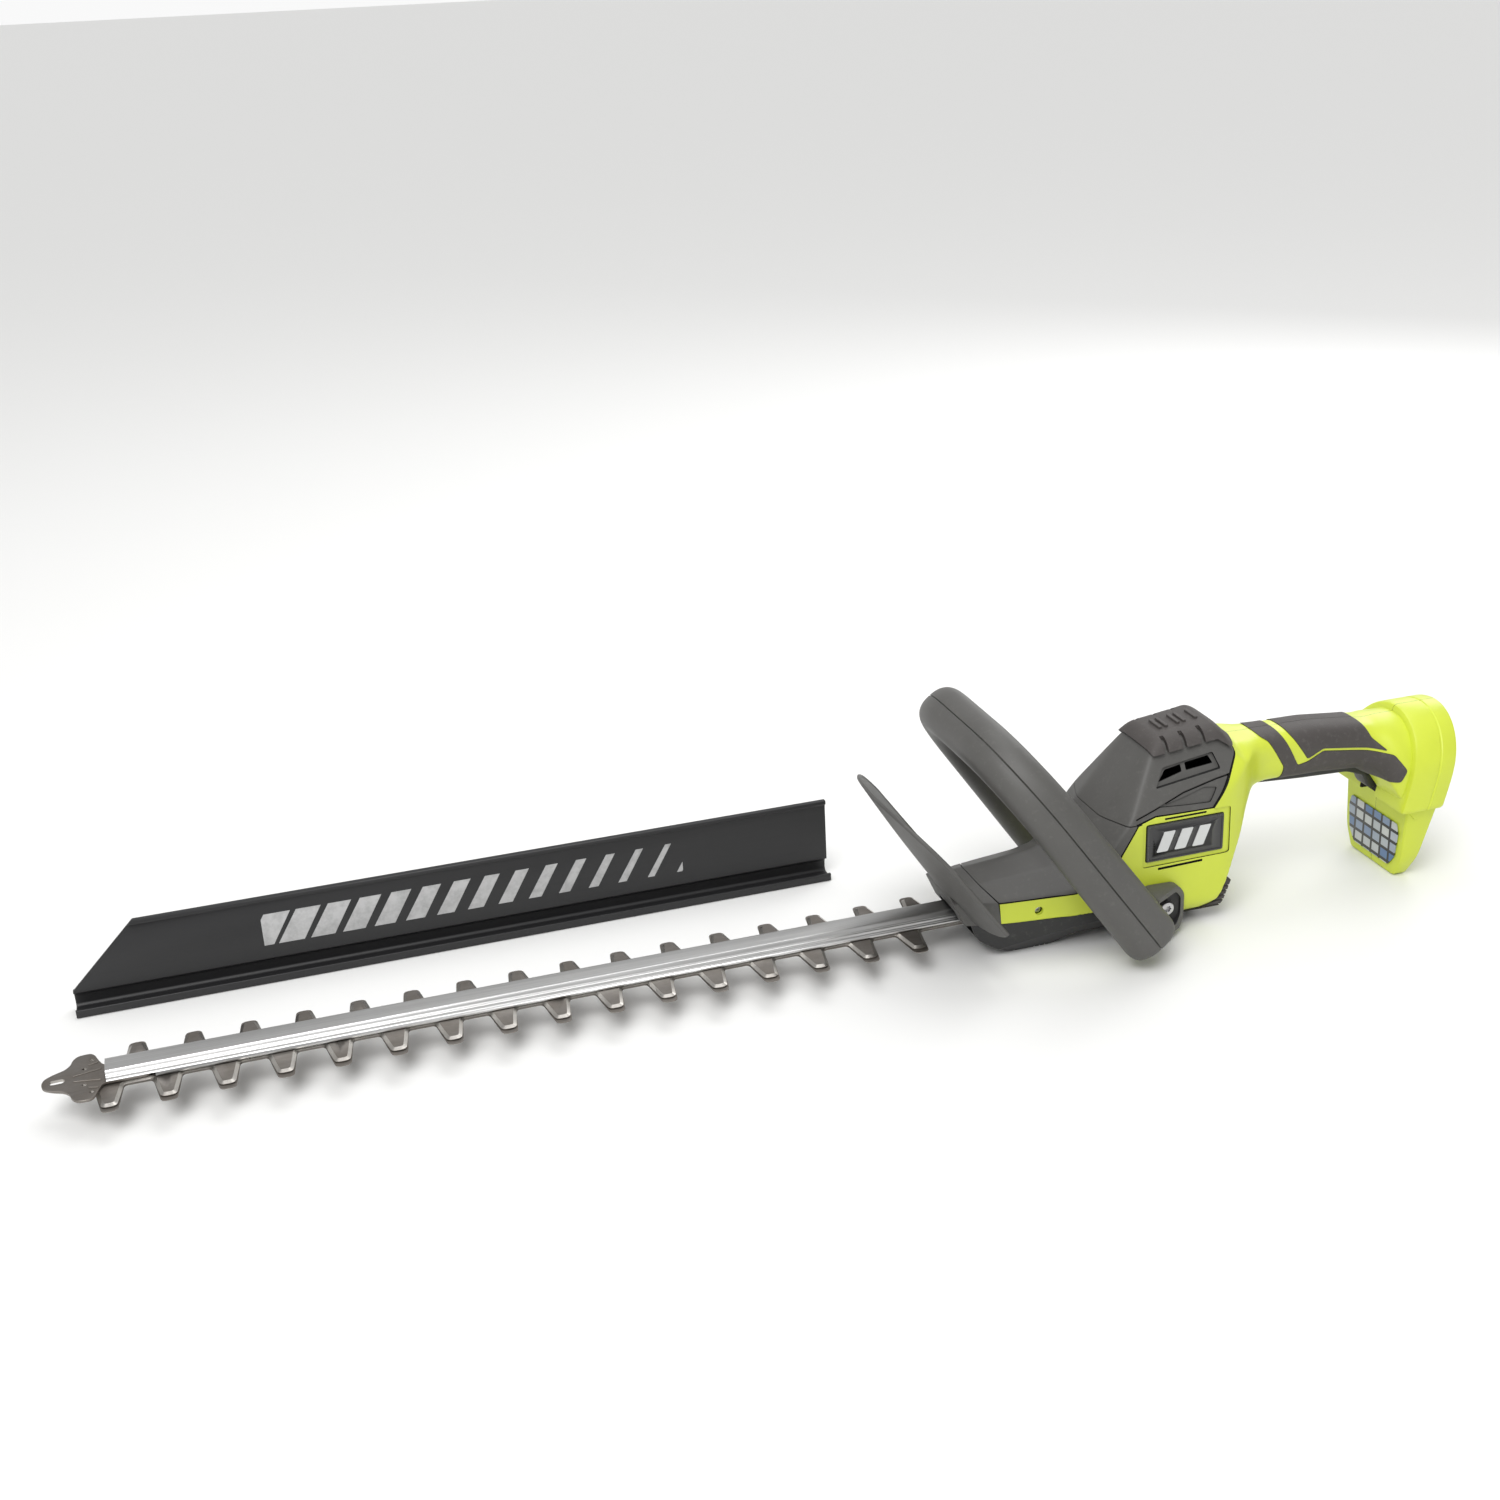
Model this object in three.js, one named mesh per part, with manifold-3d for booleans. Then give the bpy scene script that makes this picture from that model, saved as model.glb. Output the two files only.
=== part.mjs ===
// Cordless hedge trimmer, 50 cm class, double reciprocating blade.
// Frame: millimetres, +Z up, blade tip toward -X, rear handle toward +X, left side -Y.
// Origin: on the crank axis, in the plane the tool rests on.
import * as THREE from 'three';
import { mergeVertices } from 'three/addons/utils/BufferGeometryUtils.js';
import Module from 'manifold-3d';

// ---- driving dimensions -------------------------------------------------------------
const GAP = 0.3; // running and assembly gap between touching pieces
const WALL = 3; // moulded wall
const TOOTH_PITCH = 31;
const TOOTH_COUNT = 16; // teeth on each edge of a blade
const LAST_TOOTH_X = -100.5; // innermost right-hand tooth, ahead of the guard
const BLADE_THICK = 1.6;
const BLADE_Z = 16; // underside of the lower blade
const SPINE_HALF = 10.5;
const TIP_HALF = 34.5; // half width over the lower blade's tooth tips
const STIFFENER_HALF = 11;
const STIFFENER_RISE = 7;
const BOLT_R = 2.5;
const BOLT_COUNT = 5;
const THROW = 8; // crank eccentricity, half the stroke
const DISC_R = 12.5;
const SHAFT_R = 4;
const GEAR_MODULE = 1.25;
const GEAR_TEETH = 50;
const PINION_TEETH = 10;
const GEAR_Z = 24;
const GEAR_HIGH = 8;
const PLATE_Z = 36;
const MOTOR_R = 16.5;
const FAN_R = 10.5;
const MOTOR_Z = 42;
const MOTOR_HIGH = 43;
const BODY_ROOM = 5.5; // from the gear's tooth tips out to the flank of the motor body
const GRIP_HALF = 18; // half width over the grip
const PAD_THICK = 1.5; // soft overmould
const LOOP_HALF = 70; // front handle, centre line half width
const LOOP_TOP = 144; // front handle, centre line height along its plane
const LOOP_CORNER = 48;
const LOOP_DEEP = 34;
const LOOP_WIDE = 28;
const LEAN = 35.6; // forward lean of the front handle and the guard, degrees
const GUARD_HALF = 63;
const GUARD_TALL = 112;
const GUARD_THICK = 3;
const TRIGGER_HALF = 7;
const DOCK_HALF = 38;
const DOCK_CENTRE_Z = 70;
const SWEEP_LONG = 478;
const SWEEP_TALL = 55;
const SWEEP_Y = 116;

// ---- derived ------------------------------------------------------------------------
const upperBladeZ = BLADE_Z + BLADE_THICK + GAP;
const stiffenerZ = upperBladeZ + BLADE_THICK + GAP;
const stiffenerTop = stiffenerZ + STIFFENER_RISE;
const gearR = (GEAR_MODULE * GEAR_TEETH) / 2;
const pinionR = (GEAR_MODULE * PINION_TEETH) / 2;
const motorX = gearR + pinionR;
const bodyHalf = gearR + GEAR_MODULE + BODY_ROOM; // half width of the motor body
const crownHalf = bodyHalf - 22; // half width of the motor cover's flat crown
const slotHalfX = DISC_R + 0.24 * THROW;
const slotHalfY = DISC_R + THROW + 0.6;
const firstToothX = LAST_TOOTH_X - (TOOTH_COUNT - 0.5) * TOOTH_PITCH;

const GREEN = { color: 0xd0db42, roughness: 0.42, metalness: 0 };
const GREY = { color: 0x55534f, roughness: 0.62, metalness: 0 };
const DARK = { color: 0x2b2b2a, roughness: 0.6, metalness: 0 };
const SOFT = { color: 0x4a4542, roughness: 0.85, metalness: 0 };
const STEEL = { color: 0x8b8680, roughness: 0.35, metalness: 1 };
const BRIGHT = { color: 0xc9cbcc, roughness: 0.28, metalness: 1 };
const BRASS = { color: 0xb08d4a, roughness: 0.35, metalness: 1 };
const CAST = { color: 0x9a9b9c, roughness: 0.5, metalness: 1 };

const wasm = await Module();
wasm.setup();
const model = new THREE.Group();

// ---- solids -------------------------------------------------------------------------
function solid(geometry) {
  geometry.deleteAttribute('normal');
  geometry.deleteAttribute('uv');
  const merged = mergeVertices(geometry, 1e-4);
  const at = merged.attributes.position.array;
  const faces = merged.index.array;
  let volume = 0;
  for (let i = 0; i < faces.length; i += 3) {
    const [a, b, c] = [0, 1, 2].map((k) => new THREE.Vector3().fromArray(at, 3 * faces[i + k]));
    volume += a.dot(b.cross(c));
  }
  const triVerts = new Uint32Array(faces);
  if (volume < 0) {
    triVerts.reverse();
  }
  return new wasm.Manifold(
    new wasm.Mesh({ numProp: 3, vertProperties: new Float32Array(at), triVerts }));
}

// Straight prism: outline in the two axes across `axis`, from one coordinate to another.
function prism(axis, outline, from, to) {
  const shape = new THREE.Shape(outline.map(([a, b]) => new THREE.Vector2(a, b)));
  const flip = axis === 'y';
  const geometry = new THREE.ExtrudeGeometry(shape, { depth: to - from, bevelEnabled: false });
  geometry.translate(0, 0, flip ? -to : from);
  if (axis === 'x') {
    geometry.applyMatrix4(new THREE.Matrix4().makeBasis(
      new THREE.Vector3(0, 1, 0), new THREE.Vector3(0, 0, 1), new THREE.Vector3(1, 0, 0)));
  }
  if (flip) {
    geometry.rotateX(Math.PI / 2);
  }
  return solid(geometry);
}

function circle(x, y, radius, count = 20) {
  return Array.from({ length: count }, (_, i) => {
    const turn = (2 * Math.PI * (i + 0.5)) / count;
    return [x + radius * Math.cos(turn), y + radius * Math.sin(turn)];
  });
}

function box(x0, x1, y0, y1, z0, z1) {
  return prism('z', [[x0, y0], [x1, y0], [x1, y1], [x0, y1]], z0, z1);
}

function slot(x, y, halfLong, radius) {
  const out = [];
  for (const side of [1, -1]) {
    for (let i = 0; i <= 6; i += 1) {
      const turn = -Math.PI / 2 + (i * Math.PI) / 6;
      out.push([
        x + side * (halfLong - radius + radius * Math.cos(turn)), y + side * radius * Math.sin(turn)]);
    }
  }
  return out;
}

// Closed skin over a row of rings that all have the same number of corners.
function loft(rings) {
  const n = rings[0].length;
  const at = rings.flat(2);
  const faces = [];
  for (let i = 0; i + 1 < rings.length; i += 1) {
    for (let k = 0; k < n; k += 1) {
      const a = i * n + k;
      const b = i * n + ((k + 1) % n);
      faces.push(a, b, b + n, a, b + n, a + n);
    }
  }
  const last = (rings.length - 1) * n;
  for (let k = 1; k + 1 < n; k += 1) {
    faces.push(0, k + 1, k, last, last + k, last + k + 1);
  }
  const geometry = new THREE.BufferGeometry();
  geometry.setAttribute('position', new THREE.Float32BufferAttribute(at, 3));
  geometry.setIndex(faces);
  return solid(geometry);
}

// Everything on the far side of a plane is removed.
function trim(body, point, normal) {
  const n = new THREE.Vector3(...normal).normalize();
  const geometry = new THREE.BoxGeometry(1000, 1000, 1000);
  geometry.translate(0, 0, 500);
  geometry.applyQuaternion(
    new THREE.Quaternion().setFromUnitVectors(new THREE.Vector3(0, 0, 1), n));
  geometry.translate(...point);
  return body.subtract(solid(geometry));
}

function bothSides(outline) {
  return [...outline, ...outline.map(([x, y]) => [x, -y]).reverse()];
}

function turned(profile, x, y, segments = 24) {
  const points = profile.map(([r, z]) => new THREE.Vector2(r, z));
  points.push(points[0].clone());
  const geometry = new THREE.LatheGeometry(points, segments);
  geometry.rotateX(Math.PI / 2);
  geometry.translate(x, y, 0);
  return solid(geometry);
}

function add(name, body, look) {
  const { vertProperties, triVerts } = body.getMesh();
  const geometry = new THREE.BufferGeometry();
  geometry.setAttribute('position', new THREE.Float32BufferAttribute(vertProperties, 3));
  geometry.setIndex(Array.from(triVerts));
  const mesh = new THREE.Mesh(geometry, new THREE.MeshStandardMaterial(look));
  mesh.name = name;
  model.add(mesh);
}

// ---- cutting bar --------------------------------------------------------------------
const boltXs = Array.from({ length: BOLT_COUNT }, (_, i) => {
  const first = firstToothX + 0.75 * TOOTH_PITCH;
  return first + (i * (LAST_TOOTH_X - 0.5 * TOOTH_PITCH - first)) / (BOLT_COUNT - 1);
});

// One blade: toothed bar, slots for the guide bolts, and the crank yoke at its tail.
function blade(z, tipHalf) {
  const left = [];
  const right = [];
  for (let i = 0; i < TOOTH_COUNT; i += 1) {
    for (const [edge, phase] of [[left, 0], [right, 0.5]]) {
      const x = firstToothX + (i + phase) * TOOTH_PITCH;
      edge.push([x - 9.6, SPINE_HALF], [x - 7, SPINE_HALF + 3], [x - 4.4, tipHalf - 1.8]);
      edge.push([x - 2.4, tipHalf], [x + 2.4, tipHalf], [x + 4.4, tipHalf - 1.8]);
      edge.push([x + 7, SPINE_HALF + 3], [x + 9.6, SPINE_HALF]);
    }
  }
  const noseX = firstToothX - 14;
  const neckX = -slotHalfX - 7;
  const outline = [
    [noseX, 5], [noseX, -5], [noseX + 3, -SPINE_HALF],
    ...left.map(([x, y]) => [x, -y]), [neckX, -SPINE_HALF], [neckX, SPINE_HALF],
    ...right.reverse(), [noseX + 3, SPINE_HALF]];
  let body = prism('z', outline, z, z + BLADE_THICK);
  const yokeX = slotHalfX + 5;
  const yokeY = slotHalfY + 4.5;
  body = body.add(box(neckX - 1, yokeX, -yokeY, yokeY, z, z + BLADE_THICK));
  body = body.subtract(box(-slotHalfX, slotHalfX, -slotHalfY, slotHalfY, z - 1, z + 3));
  for (const x of boltXs) {
    body = body.subtract(prism('z', slot(x, 0, THROW + BOLT_R + 0.6, BOLT_R + GAP), z - 1, z + 3));
  }
  return body;
}
add('lower_blade', blade(BLADE_Z, TIP_HALF), STEEL);
add('upper_blade', blade(upperBladeZ, TIP_HALF - 3.5), STEEL);

const stiffenerFront = firstToothX - 1;
const stiffenerRear = -gearR - 27;
const halfSection = [
  [STIFFENER_HALF, stiffenerZ], [STIFFENER_HALF, stiffenerZ + 0.2 * STIFFENER_RISE],
  [0.86 * STIFFENER_HALF, stiffenerZ + 0.3 * STIFFENER_RISE],
  [0.86 * STIFFENER_HALF, stiffenerZ + 0.55 * STIFFENER_RISE],
  [0.72 * STIFFENER_HALF, stiffenerZ + 0.65 * STIFFENER_RISE],
  [0.6 * STIFFENER_HALF, stiffenerTop]];
let stiffener = prism('x', [
  ...halfSection, ...halfSection.map(([y, z]) => [-y, z]).reverse()],
stiffenerFront, stiffenerRear);
const tongueZ = stiffenerZ + BLADE_THICK + GAP;
stiffener = stiffener.subtract(
  box(stiffenerFront - 1, stiffenerFront + 26, -20, 20, stiffenerZ - 1, tongueZ));
for (const x of boltXs) {
  stiffener = stiffener.subtract(
    prism('z', circle(x, 0, BOLT_R + GAP, 12), stiffenerZ - 1, stiffenerTop - 1.5));
}
add('blade_stiffener', stiffener, BRIGHT);

// Tip guard: tongue under the stiffener, two swept ears and a nose eye to hang it by.
const eyeX = stiffenerFront - 26;
const guardEdge = [
  [eyeX - 8, 0], [eyeX - 7, 5], [eyeX - 2.5, 8.5], [eyeX + 4, 11.5], [eyeX + 7, 15.5],
  [eyeX + 8, 20.5], [eyeX + 11, 24.3], [eyeX + 17.5, 24.8], [eyeX + 20, 22.5], [eyeX + 22, 16],
  [eyeX + 24, 11], [eyeX + 26, 9.5], [eyeX + 49, 9.5]];
let tip = prism('z', bothSides(guardEdge), stiffenerZ, stiffenerZ + BLADE_THICK);
const tipCuts = [
  prism('z', slot(eyeX, 0, 4.2, 2.4), 0, 60),
  ...[-1, 1].map((side) => prism('z', circle(eyeX + 14.5, side * 8.5, 1.3, 10), 0, 60)),
  ...[-1, 1].map((side) => prism('z', circle(eyeX + 18.5, side * 17, 1.3, 10), 0, 60)),
  prism('z', circle(boltXs[0], 0, BOLT_R + GAP, 12), 0, 60)];
for (const cut of tipCuts) {
  tip = tip.subtract(cut);
}
add('tip_guard', tip, STEEL);

boltXs.forEach((x, i) => {
  const top = stiffenerTop - 2;
  add(`blade_bolt_${i + 1}`, turned([
    [0, BLADE_Z - 2.6], [5, BLADE_Z - 2.6], [5, BLADE_Z - GAP], [BOLT_R, BLADE_Z - GAP],
    [BOLT_R, top], [0, top]], x, 0, 12), BRIGHT);
});

// ---- crank and motor ----------------------------------------------------------------
function gear(teeth, x, phase, z0, z1, bore) {
  const pitchR = (GEAR_MODULE * teeth) / 2;
  const outline = [];
  for (let i = 0; i < teeth; i += 1) {
    for (const [part, dr] of [[-0.2, -1.2], [-0.09, 0.9], [0.09, 0.9], [0.2, -1.2]]) {
      const turn = (2 * Math.PI * (i + part + phase)) / teeth;
      const r = pitchR + dr * GEAR_MODULE;
      outline.push([x + r * Math.cos(turn), r * Math.sin(turn)]);
    }
  }
  return prism('z', outline, z0, z1).subtract(prism('z', circle(x, 0, bore, 16), z0 - 1, z1 + 1));
}
add('crank_gear', gear(GEAR_TEETH, 0, 0.5, GEAR_Z, GEAR_Z + GEAR_HIGH, SHAFT_R + GAP), STEEL);
add('crank_shaft', turned([
  [0, 3.4], [SHAFT_R, 3.4], [SHAFT_R, PLATE_Z + 5.5], [0, PLATE_Z + 5.5]], 0, 0, 16), BRIGHT);
for (const [name, z, side] of [['lower_eccentric', BLADE_Z, 1], ['upper_eccentric', upperBladeZ, -1]]) {
  const bore = prism('z', circle(0, 0, SHAFT_R + GAP, 16), z - 1, z + 3);
  add(name, prism('z', circle(0, side * THROW, DISC_R, 32), z, z + BLADE_THICK).subtract(bore), STEEL);
}
function ring(inner, outer, z0, z1, x) {
  return turned([[inner, z0], [outer, z0], [outer, z1], [inner, z1]], x, 0, 20);
}
add('crank_spacer', ring(SHAFT_R + GAP, 9, stiffenerZ, GEAR_Z - GAP, 0), STEEL);
add('crank_top_bearing', ring(SHAFT_R + GAP, 9, PLATE_Z, PLATE_Z + 5, 0), BRIGHT);
add('crank_lower_bush', ring(SHAFT_R + GAP, 8, 3.4, BLADE_Z - 2 * GAP, 0), BRASS);

const plateEdge = [[-14, 14], [-2, 27], [8, 33], [62, 33], [66, 28]];
let plate = prism('z', bothSides(plateEdge), PLATE_Z, PLATE_Z + 4);
plate = plate.subtract(prism('z', circle(0, 0, 9 + GAP), PLATE_Z - 1, PLATE_Z + 6));
plate = plate.subtract(prism('z', circle(motorX, 0, 10), PLATE_Z - 1, PLATE_Z + 6));
add('gearcase_plate', plate, CAST);

const motorTop = MOTOR_Z + MOTOR_HIGH;
add('motor_can', turned([
  [6, PLATE_Z + 4 + GAP], [9.7, PLATE_Z + 4 + GAP], [9.7, MOTOR_Z], [MOTOR_R, MOTOR_Z],
  [MOTOR_R, motorTop], [4, motorTop], [4, motorTop - 2], [MOTOR_R - 2.5, motorTop - 2],
  [MOTOR_R - 2.5, MOTOR_Z + 2], [6, MOTOR_Z + 2]], motorX, 0, 32), STEEL);
add('motor_rotor', turned([
  [0, GEAR_Z - 1], [2, GEAR_Z - 1], [2, MOTOR_Z + 8], [11.5, MOTOR_Z + 8], [11.5, motorTop - 9],
  [2, motorTop - 9], [2, motorTop + 9], [0, motorTop + 9]], motorX, 0, 20), CAST);
add('motor_pinion', gear(PINION_TEETH, motorX, 0, GEAR_Z - 0.5, GEAR_Z + GEAR_HIGH + 0.5, 2 + GAP), STEEL);
let fan = ring(2 + GAP, 7, motorTop + 2, motorTop + 7, motorX);
for (let i = 0; i < 9; i += 1) {
  const turn = (2 * Math.PI * i) / 9;
  const vane = [[5, -0.8], [FAN_R, -0.8], [FAN_R, 0.8], [5, 0.8]].map(([a, b]) => [
    motorX + a * Math.cos(turn) - b * Math.sin(turn), a * Math.sin(turn) + b * Math.cos(turn)]);
  fan = fan.add(prism('z', vane, motorTop + 2, motorTop + 7));
}
fan = fan.add(turned([
  [6, motorTop + 2], [FAN_R, motorTop + 2], [FAN_R, motorTop + 3.2], [6, motorTop + 3.2]], motorX, 0, 20));
add('motor_fan', fan, DARK);

// ---- moulded body -------------------------------------------------------------------
// Plan outline of the whole body, nose to dock.
const plan = (shrink) => bothSides([
  [-92, 22 - shrink], [-62, 29.5 - shrink], [-20, bodyHalf - 2 - shrink], [5, bodyHalf - shrink],
  [84, bodyHalf - shrink], [98, 32 - shrink], [108, 22 - shrink],
  [120, GRIP_HALF - shrink], [190, GRIP_HALF - shrink], [212, 26 - shrink], [216, 26 - shrink]]);

// Side outlines are loops of [x, z].
const stripLine = [[-64, 36.5], [-17, 37.5], [7, 51], [22, 76]];
const humpLine = [[34, 79.5], [72, 79], [82, 94], [91, 110]];
const housingSide = [
  [-62, 22.5], [50, 22.5], [53, 8.8], [68, 8.8], [78, 14], [84, 27], [88, 39], [99, 68], [107, 75.5],
  [120, 77], [190, 76], [199, 64], [216, 38], [216, 106], [205, 102], [196, 103.5], [157, 108],
  [115, 109], [99, 106.5], ...humpLine.toReversed(), ...stripLine.toReversed()];
const inner = (points, by) => {
  const n = points.length;
  const area = points.reduce((sum, [x, z], i) => {
    const [u, v] = points[(i + 1) % n];
    return sum + x * v - u * z;
  }, 0);
  const turn = Math.sign(area);
  return points.map(([x, z], i) => {
    const [px, pz] = points[(i + n - 1) % n];
    const [qx, qz] = points[(i + 1) % n];
    const a = new THREE.Vector2(x - px, z - pz).normalize();
    const b = new THREE.Vector2(qx - x, qz - z).normalize();
    const mid = new THREE.Vector2(-a.y - b.y, a.x + b.x).normalize();
    const reach = (turn * by) / Math.max(0.5, -a.y * mid.x + a.x * mid.y);
    return [x + reach * mid.x, z + reach * mid.y];
  });
};

function shaped(side, shrink) {
  const tall = prism('z', plan(shrink), -20, 200);
  return prism('y', shrink > 0 ? inner(side, shrink) : side, -80, 80).intersect(tall);
}

// Edges of the moulded body are broken along the top and the foot.
function eased(body, shrink) {
  let out = body;
  for (const side of [1, -1]) {
    out = trim(out, [0, side * (bodyHalf - shrink), 16], [0, side, -0.8]);
  }
  return out;
}

// Grip: rounded section from the body to the dock neck.
function gripSection(x, half, low, high) {
  const mid = (low + high) / 2;
  const tall = (high - low) / 2;
  return circle(0, 0, 1, 16).map(([a, b]) => [
    x, half * Math.sign(a) * Math.abs(a) ** 0.7, mid + tall * Math.sign(b) * Math.abs(b) ** 0.7]);
}
const gripStations = [
  [92, 30, 62, 108], [106, 22, 73, 109], [122, GRIP_HALF, 77, 109.5], [160, GRIP_HALF, 76.5, 108.5],
  [188, GRIP_HALF, 75, 105], [200, 23, 62, 103], [213, 34, 42, 106], [218, DOCK_HALF - 1, 34, 108]];
function grip(shrink) {
  return loft(gripStations.map(([x, half, low, high]) => gripSection(
    x, half - shrink, low + shrink, high - shrink)));
}

// Dock: a D-shaped flange whose rear face leans forward toward the toe.
function dockEdge(shrink) {
  const r = DOCK_HALF + 1 - shrink;
  const arch = Array.from({ length: 13 }, (_, i) => {
    const turn = (Math.PI * i) / 12;
    return [r * Math.cos(turn), DOCK_CENTRE_Z + r * Math.sin(turn)];
  });
  return [[24 - shrink, shrink], [33 - shrink, 14], [r - 1, 44], ...arch,
    [1 - r, 44], [shrink - 33, 14], [shrink - 24, shrink]];
}
const dockRear = (z) => 222 + 0.26 * z;
let dock = prism('x', dockEdge(0), 213, 260);
dock = trim(dock, [dockRear(0), 0, 0], [1, 0, -0.26]);
let socket = prism('x', dockEdge(5), 222, 270);
socket = socket.intersect(box(200, 300, -60, 60, 8, 200));
const socketBack = box(216.5, 260, -24, 24, 14, 96);

const fullHousing = eased(shaped(housingSide, 0).intersect(box(-70, 112, -60, 60, 0, 200)), 0);
const cavity = shaped(housingSide, WALL).intersect(box(-70, 108, -60, 60, 0, 200));
const gripCore = grip(PAD_THICK + GAP);
let shell = fullHousing.add(gripCore).add(dock);
shell = shell.subtract(cavity).subtract(socket).subtract(socketBack);
shell = shell.subtract(grip(PAD_THICK + GAP + WALL).intersect(box(90, 217, -60, 60, 0, 200)));
const triggerSlot = box(113, 211, -TRIGGER_HALF - 1, TRIGGER_HALF + 1, 50, 88);
shell = shell.subtract(triggerSlot);
shell = shell.subtract(prism('y', circle(120, 80, 1.9, 12), -13.4, 13.4));
// Open top and foot, where the motor cover, the nose cover and the pan close the body.
const above = [...stripLine, ...humpLine, [100, 150], [-64, 150]];
const room = prism('z', plan(WALL), -20, 200);
shell = shell.subtract(prism('y', above, -60, 60));
shell = shell.subtract(
  prism('y', inner(above, -6), -60, 60).intersect(room).intersect(box(-60, 86, -60, 60, 0, 102)));
shell = shell.subtract(room.intersect(box(-70, 49.5, -60, 60, 0, PLATE_Z)));
shell = shell.subtract(box(-70, 66.5, -34.9, 34.9, PLATE_Z - GAP, PLATE_Z + 4 + GAP));
shell = shell.subtract(
  prism('z', circle(motorX, 0, pinionR + GEAR_MODULE + 1, 24), GEAR_Z - 1, PLATE_Z));
for (const side of [1, -1]) {
  const [seatLow, seatHigh] = side > 0 ? [bodyHalf - 1.2, bodyHalf + 1] : [-bodyHalf - 1, 1.2 - bodyHalf];
  shell = shell.subtract(box(27.5, 80, seatLow, seatHigh, 50, 75));
  shell = shell.subtract(prism('y', circle(-40, 29, 2.6, 12), side > 0 ? 20 : -50, side > 0 ? 50 : -20));
}
const leftHalf = box(-200, 400, -200, -GAP / 2, -50, 300);
const rightHalf = box(-200, 400, GAP / 2, 200, -50, 300);
add('left_housing', shell.intersect(leftHalf), GREEN);
add('right_housing', shell.intersect(rightHalf), GREEN);
add('left_badge', box(28, 79.5, -bodyHalf - 0.2, 0.9 - bodyHalf, 50.4, 74.6), DARK);
add('right_badge', box(28, 79.5, bodyHalf - 0.9, bodyHalf + 0.2, 50.4, 74.6), DARK);

// Gearcase bottom cover: the pan the tool rests on, with the crank bush boss under it.
const panSide = [
  [-80, 22.2], [-76.5, 12], [-66, 6], [-55, 0], [-27, 0], [-17, 7.5], [49, 8.5], [49.7, 22.2]];
let pan = prism('y', panSide, -80, 80).intersect(prism('z', plan(1.2), -20, 22.2));
for (const side of [1, -1]) {
  pan = trim(pan, [0, side * 24, 0], [0, side, -0.75]);
}
let panRoom = prism('y', [
  [-95, 28], [-95, 14], [-75.4, 14], [-65, 9], [-54, 3], [-28, 3], [-18, 10.5], [46.7, 11.5],
  [46.7, 28]], -80, 80);
panRoom = panRoom.intersect(prism('z', plan(1.2 + WALL), -20, 60));
for (const side of [1, -1]) {
  panRoom = trim(panRoom, [0, side * (24 - WALL), 0], [0, side, -0.75]);
}
pan = pan.subtract(panRoom.intersect(box(-80, 47, -60, 60, 0, 60)));
pan = pan.subtract(box(-95, -70, -14, 14, 14, 40));
pan = pan.add(prism('z', circle(0, 0, 12, 24), 0, 11));
pan = pan.subtract(prism('z', circle(0, 0, 8 + GAP), 3, 30));
const panScrews = [[-46, 19], [-46, -19], [36, 19], [36, -19]];
for (const [x, y] of panScrews) {
  const low = x < 0 ? 0 : 7;
  pan = pan.add(prism('z', circle(x, y, 4.6, 14), low + 1.5, 20));
  pan = pan.subtract(prism('z', circle(x, y, 1.5 + GAP, 12), -1, 30));
  pan = pan.subtract(prism('z', circle(x, y, 3 + GAP, 12), -1, low + 4));
}
pan = pan.subtract(prism('y', circle(40, 20, 2.3, 12), -60, 60));
add('gearcase_bottom_cover', pan, DARK);
panScrews.forEach(([x, y], i) => {
  const low = x < 0 ? 1.2 : 8.6;
  add(`cover_screw_${i + 1}`, turned([
    [0, low], [3, low], [3, low + 2.2], [1.5, low + 2.2], [1.5, 19], [0, 19]], x, y, 12), BRIGHT);
});

// Nose cover: tapered top of the gearcase, from the guard to the foot of the motor cover.
const noseSide = [
  [-64.4, 36.8], [-17, 37.8], [6.7, 51.3], [21.6, 75.7], [7.6, 75.7], [-13, 49], [-28, 46.5],
  [-70.5, 43]];
function noseBody(side, shrink) {
  const whole = prism('y', side, -80, 80).intersect(prism('z', plan(shrink), -20, 200));
  let front = whole.intersect(box(-100, -13, -60, 60, 0, 100));
  let rear = whole.intersect(box(-13, 70, -60, 60, 0, 100));
  for (const way of [1, -1]) {
    front = trim(front, [-60, way * (13 - shrink), 44 - shrink], [-0.06, way * 0.39, 1]);
    rear = trim(rear, [0, way * (crownHalf - shrink), 66], [-0.757, way * 0.289, 0.586]);
  }
  return front.add(rear);
}
const noseRoom = [
  [-90, 10], [-90, 38.5], [-68, 40], [-28, 43.2], [-11.5, 46], [11.5, 75.7], [11.5, 90], [66, 90],
  [66, 10]];
const nose = noseBody(noseSide, 0).subtract(noseBody(noseRoom, WALL));
add('nose_cover', nose, GREY);

// Motor cover: tall faceted hump over the upright motor, vented on both flanks.
const humpSide = [
  [8, 76.3], [21.8, 76.3], ...humpLine.map(([x, z], i) => [x, z + (i < 2 ? 0.4 : 0)]),
  [91, 115], [82, 123.5], [44, 118.8], [39, 115.5]];
function humpBody(shrink) {
  let out = prism('y', inner(humpSide, shrink), -80, 80).intersect(prism('z', plan(shrink), -20, 200));
  for (const side of [1, -1]) {
    out = trim(out, [0, side * (crownHalf - shrink), 66], [-0.757, side * 0.289, 0.586]);
    out = trim(out, [41, side * (crownHalf - shrink), 119], [-0.1, side * 0.866, 0.49]);
  }
  return out;
}
let hump = humpBody(0).subtract(humpBody(WALL));
const humpMouth = prism('y', [
  [12, 60], [14.5, 79.5], [30, 84], [66, 84], [74, 90], [84, 105], [84, 60]],
-bodyHalf + WALL, bodyHalf - WALL);
hump = hump.subtract(humpMouth);
const vents = [
  [[40, 97], [56, 101], [56, 105], [45, 103]], [[59, 101.4], [76, 103.6], [74, 108], [59, 105.5]]];
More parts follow.
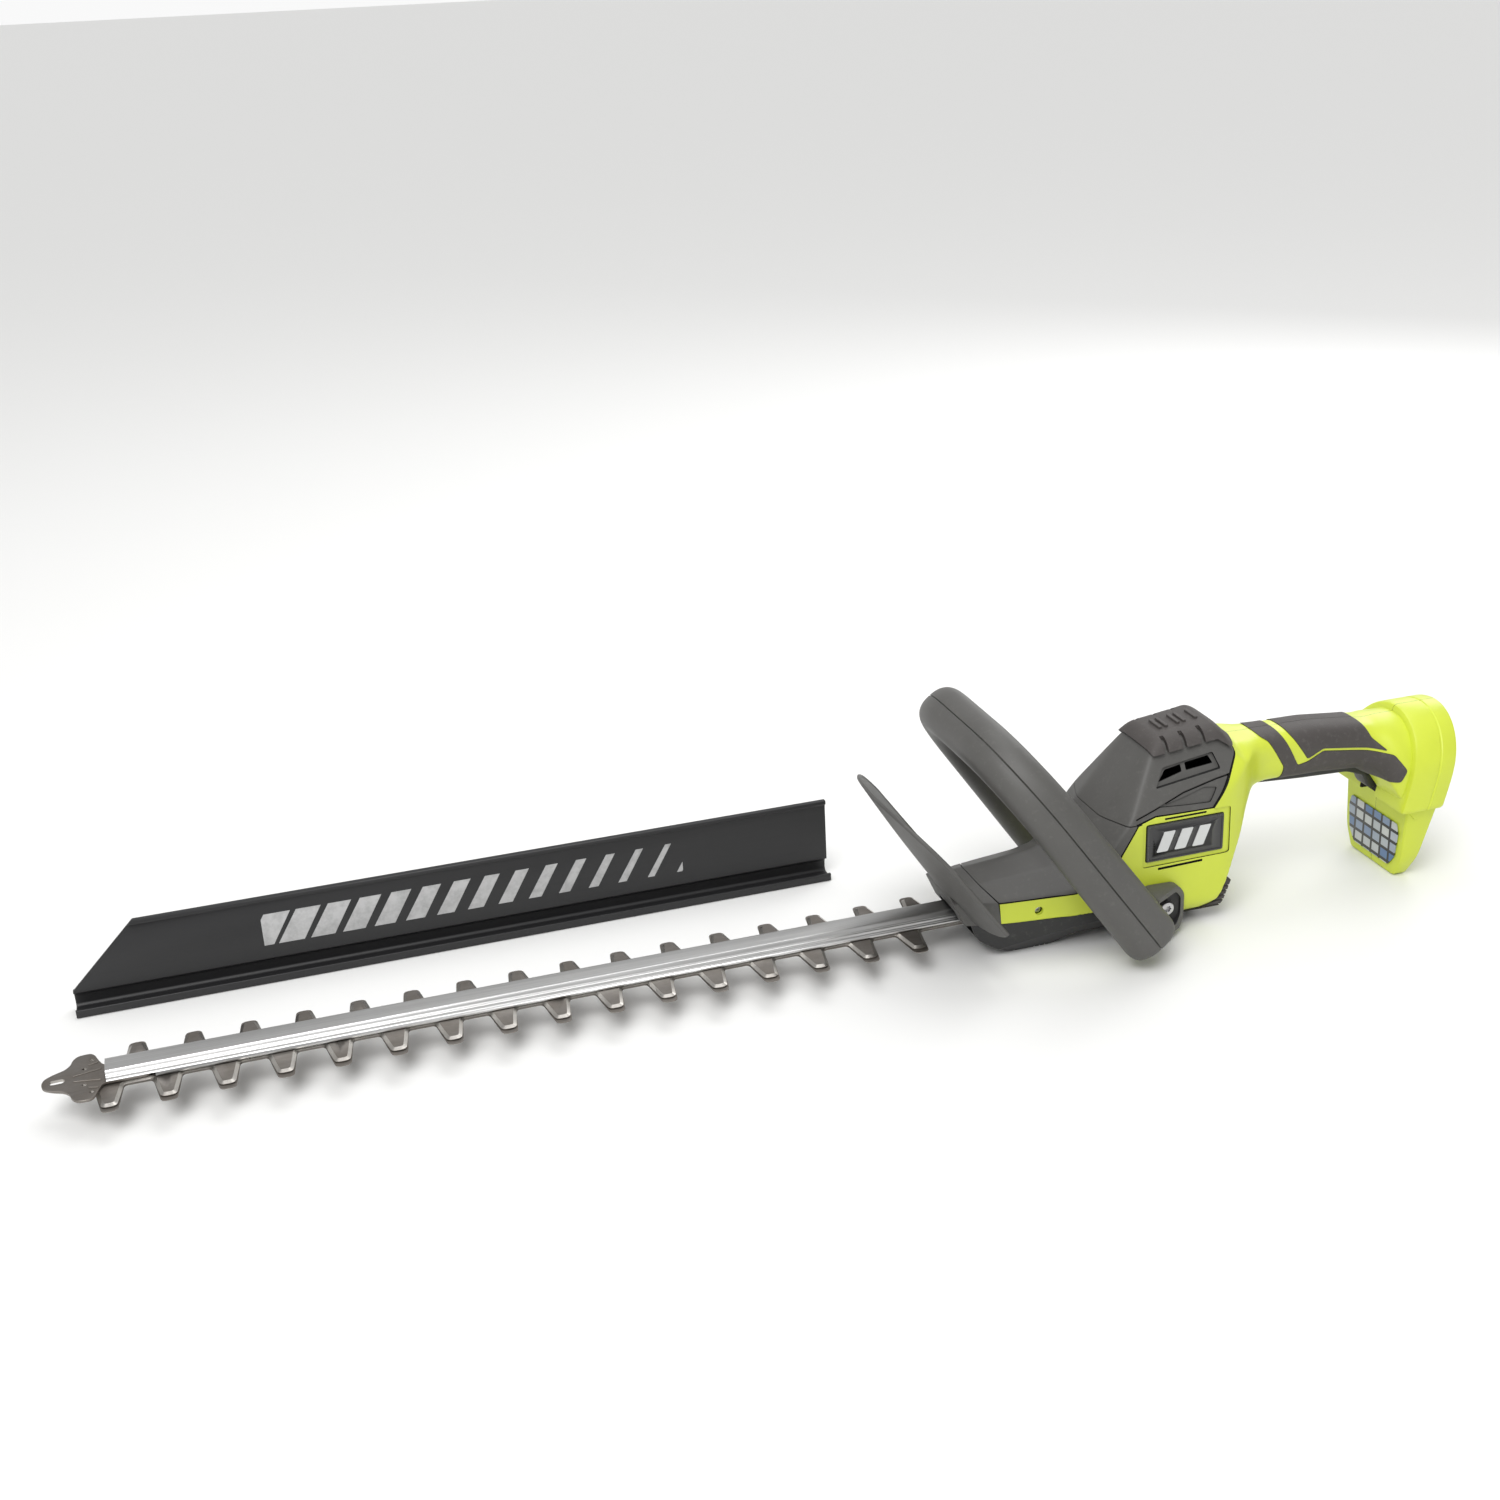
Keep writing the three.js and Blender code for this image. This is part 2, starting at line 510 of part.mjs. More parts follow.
for (const side of [1, -1]) {
  const from = side > 0 ? 20 : -60;
  for (const vent of vents) {
    hump = hump.subtract(prism('y', vent, from, from + 40));
  }
}
add('motor_cover', hump, GREY);

// ---- belly pad, rear grip and trigger -------------------------------------------------
const bellySide = [
  [53.4, 8.5], [54, 3], [58, 0], [67, 0], [76, 3.5], [84, 12], [89.5, 26], [87, 26.7], [84.4, 26.7],
  [78.4, 13.6], [68.2, 8.5]];
let belly = prism('y', bellySide, -34, 34);
for (const side of [1, -1]) {
  belly = trim(belly, [0, side * 17, 0], [0, side * 0.55, -1]);
}
add('belly_pad', belly, DARK);

const padSkin = grip(0).subtract(grip(PAD_THICK));
for (const [tag, y0, y1] of [['left', -60, -GAP / 2], ['right', GAP / 2, 60]]) {
  const upper = prism('y', [
    [118, 130], [134, 92], [140, 92], [152, 96], [199, 94], [186, 130]], y0, y1);
  const lower = prism('y', [
    [124, 86], [120, 70], [196, 60], [201, 76], [197, 92], [152, 94.4], [139, 90], [133, 86]], y0, y1);
  const clear = box(100, 215, -TRIGGER_HALF - 2, TRIGGER_HALF + 2, 40, 88);
  add(`${tag}_grip_upper`, padSkin.intersect(upper).subtract(clear), SOFT);
  add(`${tag}_grip_lower`, padSkin.intersect(lower).subtract(clear), SOFT);
}

const triggerSide = [
  [116, 78], [118, 74], [150, 72], [185, 70.5], [197, 66], [200, 58], [204, 55], [208, 57], [207.5, 78],
  [190, 82], [130, 82], [118, 83]];
let trigger = prism('y', triggerSide, -TRIGGER_HALF, TRIGGER_HALF);
trigger = trigger.subtract(prism('y', circle(120, 80, 1.9, 12), -20, 20));
add('rear_trigger', trigger, DARK);
add('trigger_pin', prism('y', circle(120, 80, 1.6, 12), -TRIGGER_HALF - 6, TRIGGER_HALF + 6), BRIGHT);

// ---- front handle: leaned loop in two half shells ---------------------------------------
const lean = (LEAN * Math.PI) / 180;
const loopAt = (u, v, n) => [
  12 - Math.sin(lean) * v + Math.cos(lean) * n, u, 22 + Math.cos(lean) * v + Math.sin(lean) * n];
const rearward = [Math.cos(lean), 0, Math.sin(lean)];
const cornerU = LOOP_HALF - LOOP_CORNER;
const cornerV = LOOP_TOP - LOOP_CORNER;
const quarter = Array.from({ length: 7 }, (_, i) => {
  const turn = (Math.PI * i) / 12;
  return [cornerU + LOOP_CORNER * Math.cos(turn), cornerV + LOOP_CORNER * Math.sin(turn)];
});
const halfPath = [[LOOP_HALF, -8], [LOOP_HALF, 44], ...quarter];
const loopPath = [...halfPath, ...halfPath.map(([u, v]) => [-u, v]).reverse()];
function loop(grow) {
  const rings = loopPath.map(([u, v], i) => {
    const [pu, pv] = loopPath[Math.max(0, i - 1)];
    const [qu, qv] = loopPath[Math.min(loopPath.length - 1, i + 1)];
    const along = new THREE.Vector2(qu - pu, qv - pv).normalize();
    const end = i === 0 || i === loopPath.length - 1 ? grow : 0;
    const foot = i === 0 ? -end : end;
    return circle(0, 0, 1, 12).map(([a, b]) => loopAt(
      u + along.x * foot - along.y * b * (LOOP_WIDE / 2 + grow),
      v + along.y * foot + along.x * b * (LOOP_WIDE / 2 + grow), a * (LOOP_DEEP / 2 + grow)));
  });
  return loft(rings);
}
function loopBox(u0, u1, v0, v1, n0, n1) {
  return loft([u0, u1].map((u) => [
    loopAt(u, v0, n0), loopAt(u, v1, n0), loopAt(u, v1, n1), loopAt(u, v0, n1)]));
}
const switchV = LOOP_TOP - LOOP_WIDE / 2;
const tube = loop(0).subtract(loop(-WALL + 0.4));
const frontOf = loopAt(0, 0, -GAP / 2);
const rearOf = loopAt(0, 0, GAP / 2);
let rearShell = trim(tube, rearOf, rearward.map((c) => -c));
rearShell = rearShell.subtract(loopBox(-35, 35, switchV - 6, switchV + 8, 1.7, 13));
add('front_handle_front', trim(tube, frontOf, rearward), GREY);
add('front_handle_rear', rearShell, GREY);
add('front_switch_bar', loopBox(-34, 34, switchV - 3.5, switchV + 4, 2.4, 12.3), DARK);
add('front_switch', loopBox(-9, 9, switchV + 8.5, switchV + 20, -8, 8), DARK);
const armSide = [[20, 9], [28, 4.5], [50, 5], [53, 12], [53, 27], [46, 35.5], [26, 36]];
const armPocket = [[30, 12], [46, 10], [49, 14], [49, 25], [43, 31], [30, 30]];
for (const [tag, side] of [['left', -1], ['right', 1]]) {
  const from = (a, b) => (side > 0 ? [a, b] : [-b, -a]);
  let arm = prism('y', armSide, ...from(bodyHalf + GAP, LOOP_HALF + 8)).subtract(loop(GAP));
  arm = trim(arm, [51, side * (bodyHalf + 5), 0], [23, side * 21, 0]);
  arm = arm.subtract(prism('y', armPocket, ...from(bodyHalf + 3.5, LOOP_HALF + 20)).subtract(loop(3)));
  arm = arm.subtract(prism('y', circle(40, 20, 2.3, 12), ...from(30, 60)));
  add(`${tag}_handle_bracket`, arm, GREY);
  const pin = prism('y', circle(40, 20, 2, 12), ...from(bodyHalf - 6, bodyHalf + 4.5));
  add(`${tag}_handle_screw`, pin.add(
    prism('y', circle(40, 20, 4.5, 12), ...from(bodyHalf + 3.8, bodyHalf + 7))), BRIGHT);
  const [low, high] = from(28.5, 32);
  const shank = prism('y', circle(-40, 29, 1.3, 12), ...from(24, 31));
  add(`${tag}_case_screw`, shank.add(prism('y', circle(-40, 29, 2.3, 12), low, high)), BRIGHT);
}

// ---- hand guard: curved shield with the nose collar -------------------------------------
function guardFace(n) {
  const columns = Array.from({ length: 17 }, (_, i) => -1 + i / 8);
  return columns.map((f) => {
    const low = 9 + 6 * f ** 6;
    const high = 0.53 * GUARD_TALL + 0.47 * GUARD_TALL * Math.sqrt(1 - 0.97 * Math.abs(f) ** 2.6);
    return [0, 0.25, 0.5, 0.75, 1].map((t) => {
      const v = low + (high - low) * t;
      const [x, y, z] = loopAt(f * GUARD_HALF, v, n - 10 * (1 - f * f) + 5 * t * t * (1 - f * f));
      return [x - 78, y, z - 1];
    });
  });
}
const guardFront = guardFace(0);
const guardRear = guardFace(GUARD_THICK);
let guard = loft(guardFront.map((column, i) => [...column, ...guardRear[i].toReversed()]));
const collarSide = [[-62.6, 22.6], [-84, 22.6], [-91, 38], [-93, 42.5], [-71, 43.2], [-64.8, 36.9]];
let collar = prism('y', collarSide, -80, 80).intersect(prism('z', plan(0.6), -20, 200));
for (const side of [1, -1]) {
  collar = trim(collar, [-60, side * 13, 44], [-0.06, side * 0.39, 1]);
  collar = collar.subtract(
    prism('y', [[-68, 26], [-79, 26], [-84, 36], [-72, 36]], ...(side > 0 ? [17, 60] : [-60, -17])));
}
guard = guard.add(collar).subtract(
  box(-140, -50, -STIFFENER_HALF - 1.5, STIFFENER_HALF + 1.5, 0, stiffenerTop + 1.5));
add('hand_guard', guard, GREY);

// ---- bumper cap, switch gear, dock fittings ----------------------------------------------
let cap = prism('y', [
  [38.6, 116.2], [43.6, 119.4], [82.2, 124], [91.4, 115.4], [93.4, 117], [84, 127.5], [45, 122.8],
  [36.6, 117.6]], 0.5 - crownHalf, crownHalf - 0.5);
for (const side of [1, -1]) {
  for (const x of [46, 58, 70]) {
    const [low, high] = side > 0 ? [crownHalf - 3.5, crownHalf + 4] : [-crownHalf - 4, 3.5 - crownHalf];
    cap = cap.subtract(box(x, x + 3, low, high, 100, 140));
  }
}
add('bumper_cap', cap, DARK);
add('rear_switch', box(134, 188, -6.5, 6.5, 92, 98.5), DARK);
const coil = Array.from({ length: 31 }, (_, i) => {
  const turn = (2 * Math.PI * i) / 10;
  return circle(0, 0, 0.45, 6).map(([a, b]) => [
    180 + (3 + a) * Math.cos(turn), (3 + a) * Math.sin(turn), 82.8 + 0.27 * i + b]);
});
add('trigger_spring', loft(coil), BRIGHT);
add('terminal_block', box(217, 236, -14, 14, 44, 84), DARK);
for (const [name, y] of [['terminal_plus', -8], ['terminal_minus', 8]]) {
  add(name, box(236.3, 241, y - 3.5, y + 3.5, 50, 51.2), BRASS);
}
add('dock_label', prism('x', [
  [-19, 6], [19, 6], [25, 14], [27, 30], [25, 37], [-25, 37], [-27, 30], [-25, 14]], 211.6, 212.7), DARK);

// ---- debris sweep: loose clip-on channel, standing beside the bar --------------------------
const sweepX = firstToothX - 21;
let sweep = prism('x', [
  [-8, 0], [4, 0], [6.5, 2.5], [6.5, 11], [4.5, 13.5], [2, 14.5], [2, SWEEP_TALL], [-1.8, SWEEP_TALL],
  [-1.8, SWEEP_TALL - 2.5], [0, SWEEP_TALL - 3.5], [0, 12.5], [3, 11], [4.5, 9.5], [4.5, 3.5], [3, 2],
  [-6, 2], [-6, 5], [-8, 5]].map(([y, z]) => [y + SWEEP_Y, z]), sweepX, sweepX + SWEEP_LONG);
sweep = trim(sweep, [sweepX, SWEEP_Y, 14], [-0.7, 0, 0.71]);
add('debris_sweep', sweep, DARK);

export default model;
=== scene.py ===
import math
import bpy
import numpy as np
from mathutils import Matrix, Vector


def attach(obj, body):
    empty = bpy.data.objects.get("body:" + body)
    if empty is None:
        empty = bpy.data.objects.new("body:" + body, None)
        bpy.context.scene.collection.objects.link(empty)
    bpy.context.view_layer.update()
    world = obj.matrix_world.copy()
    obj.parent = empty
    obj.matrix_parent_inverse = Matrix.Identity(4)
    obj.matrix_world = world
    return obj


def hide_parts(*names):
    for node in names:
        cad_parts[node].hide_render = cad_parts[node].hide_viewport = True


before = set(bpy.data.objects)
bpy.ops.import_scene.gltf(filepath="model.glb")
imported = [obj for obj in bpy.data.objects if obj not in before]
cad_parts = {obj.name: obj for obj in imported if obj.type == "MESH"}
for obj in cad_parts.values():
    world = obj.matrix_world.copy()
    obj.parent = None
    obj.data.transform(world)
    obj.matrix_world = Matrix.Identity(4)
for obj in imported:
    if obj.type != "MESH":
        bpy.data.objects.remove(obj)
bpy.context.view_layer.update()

MM = 0.001

# ---- Studio ------------------------------------------------------------------------------------
# A pale seamless table under soft boxes, seen from the front left and a little above, as a
# tool is shown on a shop page. The camera stands about 1.1 m from the handle.
view_yaw = math.radians(16.07)
view_pitch = math.radians(22.87)
view_roll = math.radians(-2.917)
forward = Vector((math.sin(view_yaw) * math.cos(view_pitch),
                  math.cos(view_yaw) * math.cos(view_pitch), -math.sin(view_pitch)))
level = Vector((math.cos(view_yaw), -math.sin(view_yaw), 0))
upward = level.cross(forward)
across = math.cos(view_roll) * level + math.sin(view_roll) * upward
upright = math.cos(view_roll) * upward - math.sin(view_roll) * level
camera = bpy.data.objects.new("camera", bpy.data.cameras.new("camera"))
camera.data.lens = 46.87
camera.data.sensor_width = 36
camera.data.clip_end = 20
camera.matrix_world = Matrix.Translation((-0.4907, -0.9873, 0.583)) @ Matrix(
    (across, upright, -forward)).transposed().to_4x4()
bpy.context.collection.objects.link(camera)
bpy.context.scene.camera = camera


def soft_box(name, place, target, size, power):
    """A square area lamp at a place, turned to face a target point."""
    lamp = bpy.data.lights.new(name, "AREA")
    lamp.size = size
    lamp.energy = power
    box = bpy.data.objects.new(name, lamp)
    box.location = place
    box.rotation_euler = (Vector(target) - Vector(place)).to_track_quat("-Z", "Y").to_euler()
    bpy.context.collection.objects.link(box)


soft_box("key_light", (-0.9, -1.1, 1.4), (0, 0, 0.05), 0.9, 9)
soft_box("top_light", (0.1, 0.5, 1.7), (-0.1, 0, 0), 1.2, 9)
soft_box("rear_light", (1.1, 1.1, 0.9), (0, 0, 0.1), 0.8, 6)
day = bpy.data.lights.new("day_light", "SUN")
day.energy = 1.25
day.angle = math.radians(38)
sun = bpy.data.objects.new("day_light", day)
sun.rotation_euler = Vector((0.35, 0.45, -1.0)).to_track_quat("-Z", "Y").to_euler()
bpy.context.collection.objects.link(sun)
sky = bpy.data.worlds.new("studio")
sky.use_nodes = True
paint = sky.node_tree
height = paint.nodes.new("ShaderNodeSeparateXYZ")
fade = paint.nodes.new("ShaderNodeMapRange")
for socket, value in (("From Min", 0.0), ("From Max", 0.22), ("To Min", 0.95), ("To Max", 0.5)):
    fade.inputs[socket].default_value = value
paint.links.new(paint.nodes.new("ShaderNodeTexCoord").outputs["Generated"], height.inputs[0])
paint.links.new(height.outputs["Z"], fade.inputs["Value"])
paint.links.new(fade.outputs["Result"], paint.nodes["Background"].inputs["Strength"])
paint.nodes["Background"].inputs["Color"].default_value = (1, 1, 1, 1)
bpy.context.scene.world = sky
bpy.context.scene.view_settings.view_transform = "Standard"


def finish(name, colour, roughness, metallic=0.0, coat=0.0):
    """A material with one Principled shader; returns it with its tree and the shader."""
    material = bpy.data.materials.new(name)
    material.use_nodes = True
    tree = material.node_tree
    shader = tree.nodes["Principled BSDF"]
    shader.inputs["Base Color"].default_value = (*colour, 1)
    shader.inputs["Roughness"].default_value = roughness
    shader.inputs["Metallic"].default_value = metallic
    shader.inputs["Coat Weight"].default_value = coat
    return material, tree, shader


def node(tree, kind, settings=(), **sockets):
    """A node of a kind, its properties set from a dict and its inputs from values or links."""
    made = tree.nodes.new(kind)
    for key, value in dict(settings).items():
        setattr(made, key, value)
    for key, value in sockets.items():
        socket = made.inputs[int(key[1:])] if key[0] == "i" and key[1:].isdigit() else made.inputs[key]
        if isinstance(value, bpy.types.NodeSocket):
            tree.links.new(value, socket)
        else:
            socket.default_value = value
    return made


paper, tree, shader = finish("table_paper", (0.86, 0.86, 0.85), 0.8)
fibre = node(tree, "ShaderNodeTexNoise", i2=90.0, i3=4.0)
tree.links.new(node(tree, "ShaderNodeTexCoord").outputs["Object"], fibre.inputs["Vector"])
tree.links.new(node(tree, "ShaderNodeBump", i0=0.04, Height=fibre.outputs["Fac"]).outputs["Normal"],
               shader.inputs["Normal"])
table = bpy.data.meshes.new("table")
table.from_pydata([(-60, -60, 0), (60, -60, 0), (60, 60, 0), (-60, 60, 0)], [], [(0, 1, 2, 3)])
table.materials.append(paper)
table = bpy.data.objects.new("table", table)
bpy.context.collection.objects.link(table)
table.location.z = -0.0004

# ---- Finishes shared by several pieces ---------------------------------------------------------
# Moulded plastic has a spark-eroded grain and faint flow clouds. Worked metal has lines along
# the way it was rolled, ground or drawn, with smudges where it has been handled.


def group(name, inputs, outputs):
    """A shader node group with the given sockets: (name, socket type, default) for each input."""
    made = bpy.data.node_groups.new(name, "ShaderNodeTree")
    for title, kind, default in inputs:
        made.interface.new_socket(title, in_out="INPUT", socket_type=kind).default_value = default
    for title, kind in outputs:
        made.interface.new_socket(title, in_out="OUTPUT", socket_type=kind)
    enter = made.nodes.new("NodeGroupInput")
    leave = made.nodes.new("NodeGroupOutput")
    return made, enter.outputs, leave.inputs


FLOAT, COLOUR, VECTOR = "NodeSocketFloat", "NodeSocketColor", "NodeSocketVector"
moulded, give, take = group("moulded_grain", [
    ("Colour", COLOUR, (0.5, 0.5, 0.5, 1)), ("Roughness", FLOAT, 0.5), ("Grain size", FLOAT, 2200.0),
    ("Grain depth", FLOAT, 0.5), ("Cloud", FLOAT, 0.06), ("Dust", FLOAT, 0.1)], [
    ("Colour", COLOUR), ("Roughness", FLOAT), ("Height", FLOAT)])
place = node(moulded, "ShaderNodeTexCoord").outputs["Object"]
cloud = node(moulded, "ShaderNodeTexNoise", Vector=place, Scale=28.0, Detail=4.0, Roughness=0.6)
grain = node(moulded, "ShaderNodeTexNoise", Vector=place, Scale=give["Grain size"], Detail=2.0)
rub = node(moulded, "ShaderNodeTexNoise", Vector=place, Scale=260.0, Detail=5.0, Roughness=0.7)
swing = node(moulded, "ShaderNodeMapRange", i0=cloud.outputs["Fac"], i1=0.3, i2=0.7, i3=-1.0, i4=1.0)
lift = node(moulded, "ShaderNodeMath", {"operation": "MULTIPLY_ADD"},
            i0=swing.outputs["Result"], i1=give["Cloud"], i2=1.0)
tinted = node(moulded, "ShaderNodeVectorMath", {"operation": "SCALE"}, i0=give["Colour"])
moulded.links.new(lift.outputs[0], tinted.inputs["Scale"])
dusty = node(moulded, "ShaderNodeMapRange", i0=rub.outputs["Fac"], i1=0.55, i2=0.8, i3=0.0, i4=1.0)
dust_share = node(moulded, "ShaderNodeMath", {"operation": "MULTIPLY"},
                  i0=dusty.outputs["Result"], i1=give["Dust"])
mixed = node(moulded, "ShaderNodeMix", {"data_type": "RGBA"}, i0=dust_share.outputs[0],
             i6=tinted.outputs["Vector"], i7=(0.42, 0.41, 0.38, 1))
moulded.links.new(mixed.outputs[2], take["Colour"])
rougher = node(moulded, "ShaderNodeMath", {"operation": "MULTIPLY_ADD"},
               i0=swing.outputs["Result"], i1=0.05, i2=give["Roughness"])
dulled = node(moulded, "ShaderNodeMath", {"operation": "ADD"}, i0=rougher.outputs[0], i1=dust_share.outputs[0])
moulded.links.new(dulled.outputs[0], take["Roughness"])
height = node(moulded, "ShaderNodeMath", {"operation": "MULTIPLY"},
              i0=grain.outputs["Fac"], i1=give["Grain depth"])
moulded.links.new(height.outputs[0], take["Height"])

worked, give, take = group("worked_metal", [
    ("Colour", COLOUR, (0.5, 0.5, 0.5, 1)), ("Roughness", FLOAT, 0.3), ("Stretch", VECTOR, (1.0, 1.0, 1.0)),
    ("Line depth", FLOAT, 0.4), ("Smudge", FLOAT, 0.3)], [
    ("Colour", COLOUR), ("Roughness", FLOAT), ("Height", FLOAT)])
place = node(worked, "ShaderNodeTexCoord").outputs["Object"]
drawn = node(worked, "ShaderNodeVectorMath", {"operation": "MULTIPLY"}, i0=place, i1=give["Stretch"])
lines = node(worked, "ShaderNodeTexNoise", Vector=drawn.outputs["Vector"], Scale=1.0, Detail=5.0,
             Roughness=0.65)
smudges = node(worked, "ShaderNodeTexNoise", Vector=place, Scale=45.0, Detail=5.0, Roughness=0.6)
stain = node(worked, "ShaderNodeMapRange", i0=smudges.outputs["Fac"], i1=0.42, i2=0.72, i3=0.0, i4=1.0)
stained = node(worked, "ShaderNodeMath", {"operation": "MULTIPLY"},
               i0=stain.outputs["Result"], i1=give["Smudge"])
darker = node(worked, "ShaderNodeVectorMath", {"operation": "MULTIPLY"}, i0=give["Colour"],
              i1=(0.55, 0.5, 0.44))
metal_tone = node(worked, "ShaderNodeMix", {"data_type": "RGBA"}, i0=stained.outputs[0],
                  i6=give["Colour"], i7=darker.outputs["Vector"])
streak = node(worked, "ShaderNodeMapRange", i0=lines.outputs["Fac"], i1=0.25, i2=0.75, i3=0.86, i4=1.1)
shaded = node(worked, "ShaderNodeVectorMath", {"operation": "SCALE"}, i0=metal_tone.outputs[2])
worked.links.new(streak.outputs["Result"], shaded.inputs["Scale"])
worked.links.new(shaded.outputs["Vector"], take["Colour"])
spread = node(worked, "ShaderNodeMapRange", i0=lines.outputs["Fac"], i1=0.2, i2=0.8, i3=-0.08, i4=0.1)
sheen = node(worked, "ShaderNodeMath", {"operation": "ADD"}, i0=spread.outputs["Result"],
             i1=give["Roughness"])
greasy = node(worked, "ShaderNodeMath", {"operation": "MULTIPLY_ADD"}, i0=stained.outputs[0], i1=0.25,
              i2=sheen.outputs[0])
worked.links.new(greasy.outputs[0], take["Roughness"])
depth = node(worked, "ShaderNodeMath", {"operation": "MULTIPLY"}, i0=lines.outputs["Fac"],
             i1=give["Line depth"])
worked.links.new(depth.outputs[0], take["Height"])


def wired(name, effect, colour, roughness, metallic=0.0, coat=0.0, bump=0.1, reach=0.0002, **inputs):
    """A finish whose colour, roughness and bump come from a shared effect with its own values."""
    material, tree, shader = finish(name, colour, roughness, metallic, coat)
    held = tree.nodes.new("ShaderNodeGroup")
    held.node_tree = effect
    held.inputs["Colour"].default_value = (*colour, 1)
    held.inputs["Roughness"].default_value = roughness
    for key, value in inputs.items():
        held.inputs[key.replace("_", " ")].default_value = value
    relief = node(tree, "ShaderNodeBump", Strength=bump, Distance=reach, Height=held.outputs["Height"])
    tree.links.new(held.outputs["Colour"], shader.inputs["Base Color"])
    tree.links.new(held.outputs["Roughness"], shader.inputs["Roughness"])
    tree.links.new(relief.outputs["Normal"], shader.inputs["Normal"])
    return material


green_plastic = wired("lime_shell", moulded, (0.60, 0.69, 0.052), 0.36, bump=0.16, Grain_size=1500.0,
                      Cloud=0.03, Dust=0.03)
grey_plastic = wired("grey_cover", moulded, (0.086, 0.084, 0.079), 0.5, bump=0.4, Grain_size=1700.0,
                     Cloud=0.08, Dust=0.1)
dark_plastic = wired("black_moulding", moulded, (0.022, 0.022, 0.022), 0.48, bump=0.4,
                     Grain_size=1700.0, Cloud=0.1, Dust=0.1)
# inside_shadow is not a moulding: a near-black finish of painted shade, given to the walls of cuts, slots and vents so
# that they read dark
painted_gap_shade = wired("inside_shadow", moulded, (0.006, 0.006, 0.006), 0.8, Grain_size=900.0, Dust=0.2)
blade_steel = wired("stamped_steel", worked, (0.27, 0.25, 0.23), 0.4, 1.0, bump=0.25,
                    Stretch=(60.0, 900.0, 900.0), Smudge=0.6)
ground_steel = wired("ground_edge", worked, (0.50, 0.48, 0.45), 0.3, 1.0, bump=0.4,
                     Stretch=(2600.0, 160.0, 160.0), Smudge=0.25)
zinc = wired("zinc_plate", worked, (0.60, 0.60, 0.61), 0.3, 1.0, bump=0.15,
             Stretch=(500.0, 500.0, 500.0), Smudge=0.35)
gear_steel = wired("greased_steel", worked, (0.28, 0.27, 0.26), 0.32, 1.0, bump=0.2,
                   Stretch=(300.0, 300.0, 900.0), Smudge=0.8)

# ---- Blades ------------------------------------------------------------------------------------
# Two stamped spring-steel combs lying face to face. Every tooth is ground to a bevel on its
# outer face, so the flat faces shear against each other. Each tail is a yoke round its crank.


def rounded(outline, radius, steps=5):
    """Each corner gives way to a quadratic curve that starts and ends a radius along its edges,
    or at 0.45 of an edge that is shorter than that."""
    p = np.asarray(outline, float)
    back, on = np.roll(p, 1, 0) - p, np.roll(p, -1, 0) - p
    lb, lo = np.linalg.norm(back, axis=1), np.linalg.norm(on, axis=1)
    r = np.broadcast_to(np.asarray(radius, float), lb.shape)
    a = p + back * (np.minimum(r, 0.45 * lb) / lb)[:, None]
    b = p + on * (np.minimum(r, 0.45 * lo) / lo)[:, None]
    t = np.linspace(0, 1, steps)[None, :, None]
    curve = (1 - t) ** 2 * a[:, None] + 2 * t * (1 - t) * p[:, None] + t**2 * b[:, None]
    return curve.reshape(-1, 2)


def inset(outline, by):
    """The outline moved inward: each corner goes along the mean of its edges' inward normals,
    far enough that both edges move by the same distance."""
    p = np.asarray(outline, float)
    area = np.sum(p[:, 0] * np.roll(p[:, 1], -1) - np.roll(p[:, 0], -1) * p[:, 1])
    edge = np.roll(p, -1, 0) - p
    edge /= np.maximum(np.linalg.norm(edge, axis=1, keepdims=True), 1e-9)
    inward = np.sign(area) * np.stack([-edge[:, 1], edge[:, 0]], 1)
    mean = inward + np.roll(inward, 1, 0)
    mean /= np.maximum(np.linalg.norm(mean, axis=1, keepdims=True), 1e-9)
    reach = by / np.maximum(np.sum(mean * inward, axis=1), 0.5)
    return p + mean * reach[:, None]


def rings_piece(name, rings, material, smooth=28.0):
    """A closed skin over rings of millimetre points, an array rings by points by three: quads
    between neighbouring rings and one flat face over each end. It is turned to face outward
    when its signed volume comes out negative."""
    rings = np.asarray(rings, float)
    n, m, _ = rings.shape
    base = np.arange(n - 1)[:, None] * m
    ahead = base + m
    here, there = np.arange(m)[None, :], (np.arange(m)[None, :] + 1) % m
    faces = np.stack([base + here, base + there, ahead + there, ahead + here], -1).reshape(-1, 4)
    v = rings.reshape(-1, 3)
    a, b, c, d = (v[faces[:, k]] for k in range(4))
    centre = v.mean(0)
    volume = np.sum(np.cross(b - a, c - a) * (a - centre)) + np.sum(np.cross(c - a, d - a) * (a - centre))
    listed = faces.tolist()
    listed += [list(range(m - 1, -1, -1)), list(range((n - 1) * m, n * m))]
    if volume < 0:
        listed = [face[::-1] for face in listed]
    mesh = bpy.data.meshes.new(name)
    mesh.from_pydata((v * MM).tolist(), [], listed)
    mesh.materials.append(material)
    mesh.polygons.foreach_set("use_smooth", [True] * len(mesh.polygons))
    mesh.set_sharp_from_angle(angle=math.radians(smooth))
    piece = bpy.data.objects.new(name, mesh)
    bpy.context.collection.objects.link(piece)
    return piece


def on_axis(outline, height, axis):
    """An outline placed across an axis at a height: for x it is (y, z), for y (x, z), for z (x, y)."""
    p = np.asarray(outline, float)
    h = np.broadcast_to(height, len(p))
    columns = {"x": (h, p[:, 0], p[:, 1]), "y": (p[:, 0], h, p[:, 1]), "z": (p[:, 0], p[:, 1], h)}
    return np.stack(columns[axis], 1)


